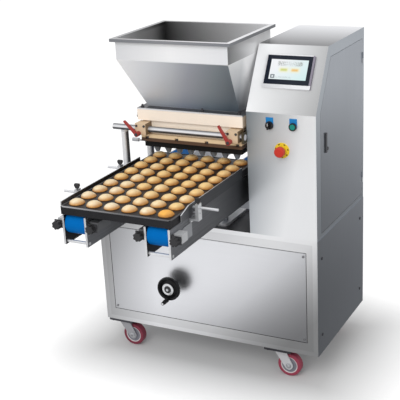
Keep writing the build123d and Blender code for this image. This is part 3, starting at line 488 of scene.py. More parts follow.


# Bars and head: ramps run over the way the round surface is turned, as painted reflections on the bars
BAR_TONES = ((0.42, (0.03, 0.03, 0.035)), (0.49, (0.62, 0.63, 0.65)), (0.66, (0.90, 0.90, 0.91)),
             (0.84, (0.58, 0.59, 0.61)), (0.93, (0.20, 0.20, 0.21)))
POST_TONES = ((0.08, (0.30, 0.31, 0.32)), (0.16, (0.92, 0.92, 0.93)), (0.72, (0.90, 0.90, 0.91)),
              (0.84, (0.45, 0.46, 0.47)), (0.89, (0.03, 0.03, 0.035)))
PIN_X, PIN_Z = -0.24, (0.90, 1.00)


def bars_look():
    """Polished bars and posts with painted reflections: a dark line below the bars, and a dark line on the
    right of the posts.
    """
    look = Look("polished_bars", metallic=0.4)
    slow = look.noise(30.0)
    bar = look.ramp(look.unit(look.normal("Z")), *BAR_TONES)
    post = look.ramp(look.unit(look.normal("X")), *POST_TONES)
    tone = look.mix(look.below(look.axis("Z"), POST_TOP, 0.001), bar, post)
    # Painted highlight: the bars' ends past the column's left wall are pale all round
    tone = look.mix(look.above(look.axis("X"), COLUMN_X[0]), tone, (0.92, 0.90, 0.93))
    look.colour(look.mix(look.remap(slow, 0.0, 0.2), tone, (0.55, 0.56, 0.58)))
    look.rough(look.remap(slow, 0.24, 0.36))
    return look.mat


def anodised(name, foot, head, foot_top, right):
    """Anodised block with a warmer foot, and its right end darkened as painted shade."""
    look = Look(name, shine=0.3)
    slow = look.noise(12.0)
    tone = look.mix(look.above(look.axis("Z"), foot_top, 0.012), look.clouded(slow, foot, 0.04),
                    look.clouded(slow, head, 0.03))
    # painted shade: faces that look to the right are multiplied by the right tone
    look.colour(look.mix(right_mask(look), tone, right, "MULTIPLY"))
    look.rough(look.remap(slow, 0.38, 0.52))
    look.bump(look.noise(700.0), 0.05)
    return look.mat


def outlet_look():
    """Gold anodised bar whose lower edge is painted a dark brown, as shade."""
    look = Look("gold_anodised", shine=0.3)
    slow = look.noise(14.0)
    gold = look.mix(slow, (0.78, 0.58, 0.36), (0.86, 0.68, 0.45))
    brown = look.mix(slow, (0.085, 0.047, 0.030), (0.130, 0.075, 0.048))
    # painted shade on the lower edge
    look.colour(look.mix(look.below(look.axis("Z"), OUTLET_EDGE, 0.0015), gold, brown))
    look.rough(look.remap(slow, 0.36, 0.52))
    look.bump(look.noise(600.0), 0.05)
    return look.mat


def screw_look():
    """Dark screws, greyer ones in the front panel, and one bright pin at the left of the nozzle bar."""
    look = Look("screw_heads", metallic=0.8)
    slow = look.noise(60.0)
    dark = look.mix(slow, (0.08, 0.08, 0.09), (0.12, 0.12, 0.13))
    pale = look.mix(slow, (0.60, 0.61, 0.63), (0.72, 0.73, 0.75))
    pin = look.both(look.below(look.axis("X"), PIN_X), look.within(look.axis("Z"), *PIN_Z))
    panel = look.both(look.below(look.axis("Y"), CABINET_FRONT + 0.01),
                      look.below(look.axis("Z"), PANEL_ROOM[1]))
    look.colour(look.mix(panel, look.mix(pin, dark, pale), (0.30, 0.30, 0.31)))
    look.rough(look.remap(slow, 0.32, 0.46))
    return look.mat


# Conveyors, guide rails and tray
# Conveyor plates: painted shade darkens the sides towards the rear and on the faces that look to each
# conveyor's middle
PLATE_Y, PLATE_PALE_Y = (-0.63, 0.10), 0.13
PLATE_TONES = ((0.0, (0.33, 0.34, 0.36)), (0.3, (0.19, 0.195, 0.205)), (0.7, (0.06, 0.062, 0.066)))
BELT_SPLICE, SPLICE_LEAN = (0.30, 0.303), 0.6
RAIL_INNER = {"left": (-0.254, -1.0), "right": (0.200, 1.0)}
RAIL_Y, RAIL_SHEET = (-0.60, 0.10), 0.0045
# Guide rails: painted shade darkens the sheet towards the rear
RAIL_TONES = ((0.0, (0.26, 0.265, 0.28)), (0.25, (0.07, 0.072, 0.078)), (0.8, (0.03, 0.031, 0.034)))
LIP_DEEP = 0.004
LIP_SHEEN_X = (TRAY_LEFT, TRAY_CENTRE[0] + 0.05)


def plate_look():
    """Grey anodised plate sides with painted shade, darker towards the rear and on the faces that look to
    each conveyor's middle; paler and less metallic behind, and pale on the faces that don't look sideways.
    """
    look = Look("conveyor_plate")
    lines = look.noise(1.0, (400.0, 5.0, 400.0), detail=4.0)
    side = look.ramp(look.remap(look.axis("Y"), 0.0, 1.0, *PLATE_Y), *PLATE_TONES)
    side = look.mix(look.remap(lines, 0.0, 0.4, *MIDDLE), side, (0.10, 0.10, 0.11))
    off = look.minus(look.axis("X"), TRAY_CENTRE[0])
    apart = look.minus(look.size(off), CONVEYOR_OFFSET)
    outward = look.times(look.normal("X"), look.times(look.math("SIGN", off), apart))
    # painted shade on the faces that look to the conveyor's middle
    side = look.mix(look.below(outward, 0.0), side, (0.035, 0.035, 0.038))
    pale_part = look.above(look.axis("Y"), PLATE_PALE_Y, 0.02)
    side = look.mix(pale_part, side, (0.88, 0.89, 0.92))
    look.feed("Metallic", look.remap(pale_part, 0.9, 0.1))
    edge = look.mix(lines, (0.84, 0.85, 0.86), (0.94, 0.94, 0.95))
    look.colour(look.mix(look.above(look.size(look.normal("X")), 0.6, 0.1), edge, side))
    look.rough(look.remap(lines, 0.38, 0.52, *MIDDLE))
    look.bump(lines, 0.03, SCRATCH_DEPTH)
    return look.mat


def takeup_look():
    """Pale axle blocks, grey covers against the plates, inner blocks painted darker as shade, and dark
    screw brackets.
    """
    look = Look("takeup_metal", metallic=0.4)
    slow = look.noise(40.0)
    cover = look.mix(slow, (0.32, 0.33, 0.35), (0.40, 0.41, 0.43))
    pale = look.mix(slow, (0.58, 0.59, 0.61), (0.68, 0.69, 0.70))
    dark = look.mix(slow, (0.05, 0.05, 0.055), (0.08, 0.08, 0.085))
    across = look.size(look.minus(look.axis("X"), TRAY_CENTRE[0]))
    apart = look.size(look.minus(across, CONVEYOR_OFFSET))
    tone = look.mix(look.above(apart, BLOCK_COVER), cover, pale)
    # painted shade: the blocks on the inner plates are darker
    tone = look.mix(look.below(across, CONVEYOR_OFFSET), tone, (0.21, 0.215, 0.225))
    look.colour(look.mix(look.below(look.axis("Y"), BRACKET_BACK), tone, dark))
    look.rough(look.remap(slow, 0.36, 0.50))
    return look.mat


def belt_look():
    """Blue food belt with a fine fabric impression and one splice."""
    look = Look("blue_belt", shine=0.04)
    weave = look.noise(1500.0, detail=2.0)
    tone = look.mix(look.noise(6.0), (0.0, 0.110, 0.39), (0.0, 0.140, 0.45))
    along = look.plus(look.axis("Y"), look.times(look.axis("X"), SPLICE_LEAN))
    look.colour(look.mix(look.within(along, *BELT_SPLICE), tone, (0.002, 0.07, 0.30)))
    look.rough(look.remap(weave, 0.45, 0.60, *MIDDLE))
    look.bump(weave, 0.10)
    return look.mat


def rail_look(name, inner, side):
    """Rail sheet with painted shade that darkens it to the rear, pale ends and edges, and pale rods."""
    look = Look(name, metallic=0.9)
    lines = look.noise(1.0, (500.0, 6.0, 500.0), detail=4.0)
    sheet = look.ramp(look.remap(look.axis("Y"), 0.0, 1.0, *RAIL_Y), *RAIL_TONES)
    sheet = look.mix(look.remap(lines, 0.0, 0.35, *MIDDLE), sheet, (0.05, 0.05, 0.055))
    pale = look.mix(lines, (0.80, 0.81, 0.83), (0.90, 0.91, 0.92))
    sheet = look.mix(look.below(look.size(look.normal("X")), 0.5, 0.1), sheet, pale)
    out = look.times(look.minus(look.axis("X"), inner), side)
    look.colour(look.mix(look.above(out, RAIL_SHEET), sheet, pale))
    look.rough(look.remap(lines, 0.32, 0.46, *MIDDLE))
    look.bump(lines, 0.03, SCRATCH_DEPTH)
    return look.mat


def tray_look(name, base, rubbed_and_sheen, amount, painted_light=0.0):
    """Dark non-stick coat with fine speckle and scuffed places, and a painted highlight on the front lip
    that fades towards the right.
    """
    look = Look(name, metallic=0.2, shine=0.3)
    fine = look.noise(1400.0, detail=2.0)
    slow = look.noise(12.0)
    tone = look.mix(look.remap(fine, 0.0, amount, 0.55, 0.75), look.clouded(slow, base, 0.3), rubbed_and_sheen)
    # painted highlight on the front lip, strongest at the left
    lip_sheen = look.remap(look.axis("X"), painted_light, 0.0, *LIP_SHEEN_X)
    lip = look.below(look.axis("Y"), TRAY_FRONT + LIP_DEEP)
    look.colour(look.mix(look.both(lip, lip_sheen), tone, (0.42, 0.42, 0.43)))
    look.rough(look.remap(slow, 0.36, 0.52, *MIDDLE))
    look.bump(fine, 0.08)
    return look.mat


# Castors, screen, stop disc and cakes
HUB_RADIUS, RIM_RADIUS = 0.0325, 0.0362
TYRE_TONES = (0.22, 0.034, 0.060), (0.32, 0.052, 0.086)
TYRE_PAINTED_LIGHT = {"left": 0.72, "right": 1.12}
SCREEN_SHIFT = (0.003, -0.0015)
SCREEN_LIT = (0.2815, 0.4300, 0.1320, 0.2105)
SCREEN_GLOW = 0.92
TITLE, TITLE_MIDDLE = (0.310, 0.408, 0.186, 0.203), 0.359
BADGE, BADGE_HOLE = (0.287, 0.304, 0.136, 0.151), (0.292, 0.299, 0.140, 0.147)
FOOT_LINE = (0.302, 0.372, 0.137, 0.144)
KEYS = ((0.322, (0.62, 0.66, 0.16)), (0.366, (0.88, 0.50, 0.12)))
KEY_HALO, KEY_FACE = (-0.004, 0.034, 0.161, 0.179), (0.002, 0.028, 0.166, 0.174)
KEY_HALO_TONE = (0.93, 0.92, 0.66)
MARK_RADII, MARK_COUNT = (0.0228, 0.0280), 7.0
CROWN_TONES = ((0.0, (0.84, 0.74, 0.54)), (0.5, (0.83, 0.60, 0.28)), (1.0, (0.88, 0.60, 0.28)))
CROWN_HIGH, BROWNED_REACH = 0.018, 0.036
BAKE_BACK, BAKE_Y = (0.0, 0.60), (-0.60, 0.06)
BAKE_ACROSS, BAKE_X = (0.0, 0.30), (TRAY_CENTRE[0] - 0.1, TRAY_CENTRE[0] + 0.2)
BAKE_DRAW = (-0.16, 0.20)


def wheel_look(name, x):
    """Red tyre, pale rim line and grey hub, told apart by the distance from the axle."""
    look = Look(f"castor_{name}", shine=0.3)
    away = look.away("XZ", (x, WHEEL_Z))
    slow = look.noise(40.0)
    # painted shade and light: the left tyres darker, the right ones lighter
    painted_light = TYRE_PAINTED_LIGHT[name.split("_")[1]]
    tyre = look.mix(slow, *(shade(tone, painted_light) for tone in TYRE_TONES))
    rim = look.mix(slow, (0.62, 0.58, 0.58), (0.74, 0.70, 0.70))
    hub = look.mix(slow, (0.14, 0.14, 0.17), (0.24, 0.24, 0.27))
    tone = look.mix(look.above(away, HUB_RADIUS), hub, rim)
    look.colour(look.mix(look.above(away, RIM_RADIUS), tone, tyre))
    look.rough(look.remap(slow, 0.40, 0.56))
    look.bump(look.noise(900.0), 0.05)
    return look.mat


def frame_look():
    """Screen frame: bright below, with painted shade that makes it grey on its right and left edges."""
    look = Look("screen_frame", metallic=0.6)
    slow = look.noise(30.0)
    pale = look.mix(slow, (0.84, 0.84, 0.86), (0.92, 0.92, 0.94))
    grey = look.mix(slow, (0.26, 0.24, 0.29), (0.32, 0.29, 0.35))
    side = look.above(look.size(look.normal("X")), 0.5, 0.1)
    strip = look.both(look.above(look.axis("X"), FRAME_STRIP), look.above(look.axis("Z"), FRAME_FOOT))
    look.colour(look.mix(look.larger(side, strip), pale, grey))
    look.rough(look.remap(slow, 0.32, 0.46))
    return look.mat


def screen_look():
    """Black glass border round a lit panel of plain blocks, placed by x and the way up the slope."""
    look = Look("touch_glass", shine=0.2)
    slope = math.hypot(CONSOLE_DEEP, CONSOLE_HIGH)
    back = look.times(look.minus(look.axis("Y"), CABINET_FRONT), CONSOLE_DEEP / slope)
    rise = look.times(look.minus(look.axis("Z"), CONSOLE_BREAK), CONSOLE_HIGH / slope)
    x = look.minus(look.axis("X"), SCREEN_SHIFT[0])
    up = look.minus(look.plus(back, rise), SCREEN_SHIFT[1])

    def patch(x0, x1, u0, u1, soft=0.0006):
        return look.both(look.within(x, x0, x1, soft), look.within(up, u0, u1, soft))

    corner = look.remap(look.minus(x, up), 0.0, 1.0, 0.12, 0.30)
    glow = look.mix(corner, (0.93, 0.94, 0.97), (0.66, 0.90, 0.90))
    cells = look.noise(1.0, (300.0, 300.0, 300.0), detail=1.0)
    ends = look.remap(look.size(look.minus(x, TITLE_MIDDLE)), 0.35, 1.0, 0.010, 0.045)
    title = look.both(patch(*TITLE, 0.003), look.remap(cells, 0.10, 1.0, 0.42, 0.56))
    glow = look.mix(look.both(title, ends), glow, (0.34, 0.36, 0.34))
    for start, tint in KEYS:
        for (x0, x1, u0, u1), soft, tone in ((KEY_HALO, 0.006, KEY_HALO_TONE), (KEY_FACE, 0.004, tint)):
            glow = look.mix(patch(start + x0, start + x1, u0, u1, soft), glow, tone)
    glow = look.mix(patch(*BADGE), glow, (0.20, 0.23, 0.26))
    glow = look.mix(patch(*BADGE_HOLE), glow, (0.80, 0.86, 0.88))
    foot = look.both(patch(*FOOT_LINE, 0.002), look.remap(cells, 0.0, 0.6, 0.45, 0.55))
    glow = look.mix(foot, glow, (0.48, 0.55, 0.56))
    lit = patch(*SCREEN_LIT)
    border = look.mix(look.noise(30.0), (0.008, 0.011, 0.020), (0.014, 0.018, 0.030))
    look.colour(look.mix(lit, border, (0.03, 0.03, 0.03)))
    look.feed("Emission Color", look.mix(lit, BLACK, glow))
    look.feed("Emission Strength", SCREEN_GLOW)
    look.rough(look.remap(look.noise(20.0), 0.16, 0.26))
    return look.mat


def disc_look():
    """Yellow stop disc with short dark turn marks."""
    look = Look("yellow_disc", shine=0.3)
    angle = look.math("ARCTAN2", look.minus(look.axis("Z"), ESTOP[1]), look.minus(look.axis("X"), ESTOP[0]))
    wave = look.math("SINE", look.times(angle, MARK_COUNT))
    marks = look.both(look.within(look.away("XZ", ESTOP), *MARK_RADII), look.above(wave, 0.50, 0.05))
    slow = look.noise(60.0)
    tone = look.mix(slow, (0.80, 0.56, 0.025), (0.88, 0.66, 0.04))
    look.colour(look.mix(marks, tone, (0.16, 0.11, 0.02)))
    look.rough(look.remap(slow, 0.36, 0.48))
    return look.mat


def cake_look():
    """Golden crust: each cake has its own tone, a paler crown and a browner edge, painted shade on the
    sides turned to the right and the front, and fine pores.
    """
    look = Look("cake_crust", shine=0.2)
    cells = look.new("ShaderNodeCombineXYZ")
    for letter, centre, pitch, count in zip("XY", TRAY_CENTRE, CUP_PITCH, CUP_COUNT):
        place = look.math("DIVIDE", look.minus(look.axis(letter), centre - count / 2 * pitch), pitch)
        look.link(look.math("FLOOR", place), cells.inputs[letter])
    draw = look.new("ShaderNodeTexWhiteNoise")
    look.link(cells.outputs["Vector"], draw.inputs["Vector"])
    high = look.remap(look.axis("Z"), 0.0, 1.0, TRAY_TOP, TRAY_TOP + CROWN_HIGH)
    blotch = look.noise(75.0, detail=4.0)
    pores = look.noise(620.0)
    back = look.plus(look.remap(look.axis("Y"), *BAKE_BACK, *BAKE_Y),
                     look.remap(look.axis("X"), *BAKE_ACROSS, *BAKE_X))
    bake = look.plus(look.remap(draw.outputs["Value"], *BAKE_DRAW), back)
    browned = look.below(look.away("XY", FRONT_RIGHT_CAKE), BROWNED_REACH)
    crown = look.mix(browned, look.ramp(bake, *CROWN_TONES), (0.88, 0.44, 0.09))
    edge = look.mix(bake, (0.46, 0.20, 0.045), (0.32, 0.12, 0.024))
    tone = look.mix(look.remap(high, 0.0, 1.0, 0.12, 0.62), edge, crown)
    # painted shade: faces turned to the right and the front take the edge's colour
    turned = look.minus(look.normal("X"), look.times(look.normal("Y"), 0.35))
    tone = look.mix(look.remap(turned, 0.0, 0.70, 0.25, 0.80), tone, edge)
    tone = look.mix(look.remap(blotch, 0.0, 0.40, 0.46, 0.70), tone, (0.80, 0.44, 0.13))
    tone = look.mix(look.remap(pores, 0.0, 0.22, 0.58, 0.76), tone, (0.46, 0.21, 0.05))
    look.colour(look.mix(look.below(high, 0.05, 0.05), tone, (0.16, 0.06, 0.015)))
    look.rough(look.remap(blotch, 0.50, 0.70))
    look.bump(pores, 0.20, 0.0008)
    return look.mat


# Finishes that several pieces share
bright = cast("milled_aluminium", (0.84, 0.85, 0.86), 0.8, 0.36)
zinc = cast("zinc_plate", (0.62, 0.63, 0.65), 0.75, 0.36)
black_gloss = cast("black_gloss", (0.012, 0.012, 0.014), 0.0, 0.24, grain=1500.0, bump=0.02)
blue_label = cast("blue_plate", (0.010, 0.20, 0.50), 0.0, 0.42, bump=0.03, shine=0.3)
white_mark = cast("white_mark", (0.88, 0.88, 0.88), 0.0, 0.4)
motor_paint = cast("motor_enamel", (0.20, 0.24, 0.30), 0.0, 0.40)
# Tray rim bead: a paler coat and paler scuffed places as painted sheen, with the painted highlight on its
# front lip
tray_edge = tray_look("rubbed_edge_and_sheen", (0.10, 0.10, 0.105), (0.30, 0.29, 0.29), 1.0, painted_light=0.8)
screws = screw_look()

# Every node of the part with its finish
finishes = {
    brushed("steel_grain_x", (0.95, 0.96, 0.98), "x", (0.29, 0.33), zones=cabinet_zones, matt=cabinet_matt,
            relief=0.003): ["base_cabinet"],
    brushed("steel_panel", (0.92, 0.93, 0.95), "x", (0.30, 0.40), zones=panel_zones, relief=0.008):
        ["front_panel"],
    brushed("steel_column", (0.94, 0.95, 0.97), "z", (0.32, 0.36), zones=column_zones, matt=column_matt,
            relief=0.005): ["control_column"],
    # Side panels: the steel painted darker, as shade on the right side
    brushed("steel_side_shaded", (0.44, 0.47, 0.51), "z", (0.30, 0.42), zones=side_zones):
        ["lower_side_panel", "side_door"],
    brushed("steel_hopper", (0.97, 0.975, 0.99), "z", (0.34, 0.46), 0.65, hopper_zones, hopper_matt):
        ["hopper"],
    brushed("steel_plain", (0.74, 0.75, 0.77), "x"): ["feed_roller_front", "feed_roller_rear"],
    brushed("steel_dark", (0.30, 0.31, 0.33), "x", (0.35, 0.5)): ["lift_frame"],
    cast("blackened_plate", (0.07, 0.07, 0.08), 0.6, 0.42): ["castor_plates"],
    # Castor forks: the left ones painted darker as shade, the right ones lighter as lit
    cast("fork_shaded", (0.42, 0.42, 0.44), 0.6, 0.36): ["castor_fork_front_left", "castor_fork_rear_left"],
    cast("fork_lit", (0.78, 0.78, 0.80), 0.5, 0.36):
        ["castor_fork_front_right", "castor_fork_rear_right"],
    bright: ["conveyor_cross_rods", "guide_clamps", "front_pulley_left", "front_pulley_right",
             "drive_roller", "lift_bushes"],
    anodised("cream_anodised", (0.92, 0.80, 0.66), (0.93, 0.82, 0.705), HEAD_FOOT, (0.70, 0.66, 0.60)):
        ["manifold_block"],
    anodised("housing_anodised", (0.92, 0.80, 0.66), (0.95, 0.84, 0.72), HEAD_FOOT, (1.0, 0.95, 0.86)):
        ["pump_housing"],
    anodised("tan_anodised", (0.52, 0.36, 0.23), (0.69, 0.53, 0.36), CLAMP_FOOT, (0.36, 0.32, 0.27)):
        ["shaft_clamp_blocks"],
    cast("nozzle_metal", (0.22, 0.25, 0.29), 0.1, 0.40): ["nozzles"],
    cast("nozzle_bar_coat", (0.009, 0.009, 0.009), 0.0, 0.5, shine=0.15): ["nozzle_bar"],
    cast("wheel_black", (0.010, 0.010, 0.011), 0.0, 0.42, grain=1500.0, shine=0.3):
        ["handwheel_grip", "handwheel"],
    cast("black_moulding", (0.030, 0.030, 0.032), 0.0, 0.45, grain=1500.0, shine=0.35):
        [name for name in nodes if name.startswith(("takeup_knob", "guide_knob"))],
    cast("handle_grey", (0.07, 0.072, 0.08), 0.2, 0.45): ["door_handle"],
    cast("red_enamel", (0.36, 0.045, 0.040), 0.0, 0.36, shine=0.3):
        ["clamp_lever_left", "clamp_lever_right"],
    cast("red_mushroom", (0.56, 0.040, 0.025), 0.0, 0.34, bump=0.02, shine=0.3): ["estop_button"],
    cast("green_cap", (0.012, 0.25, 0.20), 0.0, 0.34, bump=0.02, shine=0.3): ["start_button"],
    black_gloss: ["selector_knob"],
    motor_paint: ["pump_motor", "conveyor_motor", "control_gear"],
    screws: ["socket_screws"],
    bars_look(): ["head_support_bars"],
    outlet_look(): ["outlet_bar"],
    takeup_look(): ["takeup_blocks"],
    plate_look(): ["conveyor_side_plates"],
    belt_look(): ["conveyor_belts"],
    frame_look(): ["touch_screen_frame"],
    screen_look(): ["touch_screen_glass"],
    tray_look("non_stick_coat", (0.013, 0.013, 0.015), (0.06, 0.055, 0.06), 0.6): ["baking_tray"],
}
for name, (inner, side) in RAIL_INNER.items():
    finishes[rail_look(f"guide_{name}", inner, side)] = [f"guide_rail_{name}"]
for name, (x, _) in CASTORS.items():
    finishes[wheel_look(name, x + WHEEL_TRAIL)] = [f"castor_wheel_{name}"]
for mat, names in finishes.items():
    for name in names:
        nodes[name].data.materials.clear()
        nodes[name].data.materials.append(mat)


# Ways to build a piece
SHARP_ANGLE = math.radians(35)


def in_scene(obj):
    scene.collection.objects.link(obj)
    return obj


def piece(name, bm, body, mat, smooth=True):
    """Turns a built mesh into a named piece that rides on a body."""
    mesh = bpy.data.meshes.new(name)
    bmesh.ops.recalc_face_normals(bm, faces=bm.faces)
    bm.to_mesh(mesh)
    bm.free()
    obj = in_scene(bpy.data.objects.new(name, mesh))
    mesh.materials.append(mat)
    if smooth:
        for polygon in mesh.polygons:
            polygon.use_smooth = True
        mesh.set_sharp_from_angle(angle=SHARP_ANGLE)
    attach(obj, body)
    return obj


def skin(bm, rings):
    """Faces between rings of points; a ring of one point closes to a tip."""
    for low, high in zip(rings, rings[1:]):
        steps = max(len(low), len(high))
        for i in range(steps):
            j = (i + 1) % steps
            corners = [low[i % len(low)], low[j % len(low)], high[j % len(high)], high[i % len(high)]]
            corners = list(dict.fromkeys(corners))
            if len(corners) > 2:
                bm.faces.new(corners)


def circle(steps):
    return [2 * math.pi * step / steps for step in range(steps)]


def lathe(bm, profile, centre, axis, steps=48):
    """Turns a profile of (radius, height) pairs about an axis through a centre."""
    axis = Vector(axis).normalized()
    side = axis.orthogonal().normalized()
    other = axis.cross(side)
    rings = []
    for radius, height in profile:
        base = Vector(centre) + axis * height
        rings.append([bm.verts.new(base + radius * (math.cos(angle) * side + math.sin(angle) * other))
                      for angle in circle(steps if radius else 1)])
    skin(bm, rings)


def slab(bm, low, high, bevel, segments=2):
    """A box with rounded edges between two corners."""
    low, high = Vector(low), Vector(high)
    made = bmesh.ops.create_cube(bm, size=1.0)
    matrix = Matrix.Translation((low + high) / 2) @ Matrix.Diagonal((*(high - low), 1.0))
    bmesh.ops.transform(bm, matrix=matrix, verts=made["verts"])
    edges = list({edge for vert in made["verts"] for edge in vert.link_edges})
    bmesh.ops.bevel(bm, geom=edges, offset=bevel, segments=segments, profile=0.6, affect="EDGES")


def turned_piece(name, profile, centre, axis, body, mat, steps=48, smooth=True):
    bm = bmesh.new()
    lathe(bm, profile, centre, axis, steps)
    piece(name, bm, body, mat, smooth)


def slab_piece(name, low, high, bevel, body, mat):
    bm = bmesh.new()
    slab(bm, low, high, bevel)
    piece(name, bm, body, mat)


# Button surrounds: blue plates above black collars, and the yellow disc of the emergency stop
LABEL_HALF, LABEL_DEEP, LABEL_Z = 0.015, 0.0022, (-0.004, 0.030)
COLLARS = {
    "selector": [(0.0112, 0.0004), (0.0158, 0.0004), (0.0158, 0.0034), (0.0146, 0.0046), (0.0143, 0.0046),
                 (0.0112, 0.0012)],
    "start": [(0.0112, 0.0004), (0.0150, 0.0004), (0.0150, 0.0084), (0.0140, 0.0099), (0.0116, 0.0099),
              (0.0112, 0.0094)],
}
STOP_DISC = [(0.0112, 0.0), (0.0300, 0.0), (0.0300, 0.0022), (0.0292, 0.0030), (0.0112, 0.0030)]
for name, (x, z) in (("selector", SELECTOR), ("start", START)):
    label_front = CABINET_FRONT - LABEL_DEEP
    slab_piece(f"label_plate_{name}", (x - LABEL_HALF, label_front, z + LABEL_Z[0]),
               (x + LABEL_HALF, CABINET_FRONT, z + LABEL_Z[1]), 0.0008, "machine", blue_label)
    turned_piece(f"collar_{name}", COLLARS[name], (x, label_front, z), FRONT, "machine", black_gloss)
turned_piece("stop_disc", STOP_DISC, (ESTOP[0], CABINET_FRONT, ESTOP[1]), FRONT, "machine", disc_look())

# Pointer line on the selector's bar
POINTER_HALF, POINTER_Y, POINTER_Z = 0.0009, (-0.0434, -0.0428), (0.0005, 0.0115)
slab_piece("selector_pointer", (SELECTOR[0] - POINTER_HALF, POINTER_Y[0], SELECTOR[1] + POINTER_Z[0]),
           (SELECTOR[0] + POINTER_HALF, POINTER_Y[1], SELECTOR[1] + POINTER_Z[1]), 0.0003, "selector_knob",
           white_mark)

# Handwheel: silver ring, dark hub cap and centre bolt, and the end of the crank pin
WHEEL_RING = [(0.0158, 0.0068), (0.0252, 0.0068), (0.0262, 0.0076), (0.0258, 0.0086), (0.0180, 0.0098),
              (0.0158, 0.0098), (0.0158, 0.0068)]
WHEEL_CAP = [(0.0150, 0.0095), (0.0155, 0.0110), (0.0140, 0.0125), (0.0075, 0.0128), (0.0, 0.0128)]
WHEEL_BOLT = [(0.0066, 0.0126), (0.0066, 0.0143), (0.0060, 0.0150), (0.0, 0.0150)]
PIN_CAP = [(0.0048, -0.0005), (0.0050, 0.0), (0.0048, 0.0010), (0.0034, 0.0018), (0.0, 0.0020)]
turned_piece("handwheel_ring", WHEEL_RING, HANDWHEEL, FRONT, "handwheel", bright)
turned_piece("handwheel_cap", WHEEL_CAP, HANDWHEEL, FRONT, "handwheel", black_gloss)
turned_piece("handwheel_bolt", WHEEL_BOLT, HANDWHEEL, FRONT, "handwheel", zinc, steps=6,
             smooth=False)
turned_piece("crank_pin_cap", PIN_CAP, GRIP_END, FRONT, "handwheel", bright)

# Cakes: each dome with its own height, lean and surface
CAKE_STEPS = 36
CAKE_SHOULDER = 0.004
CAKE_TALL, CAKE_LEAN = (0.86, 1.0), 0.04
CAKE_WOBBLE, CAKE_RIPPLE = (0.012, 0.008), 0.0004
DOME_PROFILE = [(0.0275, -0.0010), (0.0286, 0.0004), (0.0289, 0.0018), (0.0285, 0.0032), (0.0272, 0.0056),
                (0.0248, 0.0088), (0.0212, 0.0122), (0.0168, 0.0151), (0.0118, 0.0174), (0.0064, 0.0189),
                (0.0, 0.0195)]


def cake(bm, x, y):
    tall = random.uniform(*CAKE_TALL)
    lean = (random.uniform(-CAKE_LEAN, CAKE_LEAN), random.uniform(-CAKE_LEAN, CAKE_LEAN))
    phase = [random.uniform(0, 2 * math.pi) for _ in range(4)]
    rings = []
    for radius, height in DOME_PROFILE:
        ring = []
        for angle in circle(CAKE_STEPS if radius else 1):
            wobble = (1 + CAKE_WOBBLE[0] * math.sin(3 * angle + phase[0])
                      + CAKE_WOBBLE[1] * math.sin(5 * angle + phase[1]))
            dx = radius * wobble * math.cos(angle)
            dy = radius * wobble * math.sin(angle)
            lift = height * tall
            if height > CAKE_SHOULDER:
                lift += dx * lean[0] + dy * lean[1]
                lift += CAKE_RIPPLE * math.sin(180 * dx + phase[2]) * math.sin(200 * dy + phase[3])
            ring.append(bm.verts.new((x + dx, y + dy, TRAY_TOP + lift)))
        rings.append(ring)
    skin(bm, rings)


bm = bmesh.new()
for column in range(CUP_COUNT[0]):
    for row in range(CUP_COUNT[1]):
        cake(bm, *(centre + (step - (count - 1) / 2) * pitch for centre, step, count, pitch
                   in zip(TRAY_CENTRE, (column, row), CUP_COUNT, CUP_PITCH)))
cakes = piece("cakes_baked", bm, "tray", cake_look())
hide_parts("cakes")

# Tray rim: a rolled bead round the top edge
CORNER, CORNER_STEPS = 0.010, 6
BEAD, BEAD_STEPS = 0.0028, 12
BEAD_Z = TRAY_TOP - 0.001
half_x, half_y = (size / 2 - BEAD * 0.4 - CORNER for size in TRAY_SIZE)
path = []
for quarter, (sx, sy) in enumerate(((1, 1), (-1, 1), (-1, -1), (1, -1))):
    for step in range(CORNER_STEPS + 1):
        angle = math.pi / 2 * (quarter + step / CORNER_STEPS)
        path.append(Vector((TRAY_CENTRE[0] + sx * half_x + CORNER * math.cos(angle),
                            TRAY_CENTRE[1] + sy * half_y + CORNER * math.sin(angle), BEAD_Z)))
bm = bmesh.new()
rings = []
for i, point in enumerate(path):
    along = (path[(i + 1) % len(path)] - path[i - 1]).normalized()
    out = along.cross(UP)
    rings.append([bm.verts.new(point + BEAD * (math.cos(angle) * out + math.sin(angle) * UP))
                  for angle in circle(BEAD_STEPS)])
skin(bm, rings + rings[:1])
piece("tray_rim", bm, "tray", tray_edge)

# Castor axle nuts with washers
WASHER = [(0.0062, 0.0), (0.0115, 0.0), (0.0115, 0.0014), (0.0062, 0.0014)]
NUT = [(0.0062, 0.0014), (0.0092, 0.0014), (0.0092, 0.0052), (0.0080, 0.0060), (0.0062, 0.0060)]
for name, (x, y) in CASTORS.items():
    bm = bmesh.new()
    for side in (-1, 1):
        seat = (x + WHEEL_TRAIL, y + side * AXLE_SEAT, WHEEL_Z)
        lathe(bm, WASHER, seat, (0, side, 0), steps=28)
        lathe(bm, NUT, seat, (0, side, 0), steps=6)
    piece(f"axle_nuts_{name}", bm, f"castor_fork_{name}", zinc, smooth=False)

# Door lock barrel by the handle, with its key slot
LOCK_BARREL = [(0.0, 0.0026), (0.0055, 0.0026), (0.0068, 0.0020), (0.0072, 0.0), (0.0, 0.0)]
LOCK_SLOT = (0.4974, 0.1034, 0.9625), (0.4979, 0.1046, 0.9695)
bm = bmesh.new()
lathe(bm, LOCK_BARREL, DOOR_LOCK, (1, 0, 0), steps=32)
slab(bm, *LOCK_SLOT, 0.0001, 1)
piece("door_lock", bm, "side_door", screws)

# Lever hub caps
LEVER_CAP = [(0.0068, 0.0), (0.0068, 0.0025), (0.0058, 0.0034), (0.0, 0.0034)]
for name, x in LEVER_X.items():
    turned_piece(f"lever_cap_{name}", LEVER_CAP, (x, LEVER_FRONT, LEVER_Z), FRONT, f"clamp_lever_{name}",
                 screws, steps=6, smooth=False)

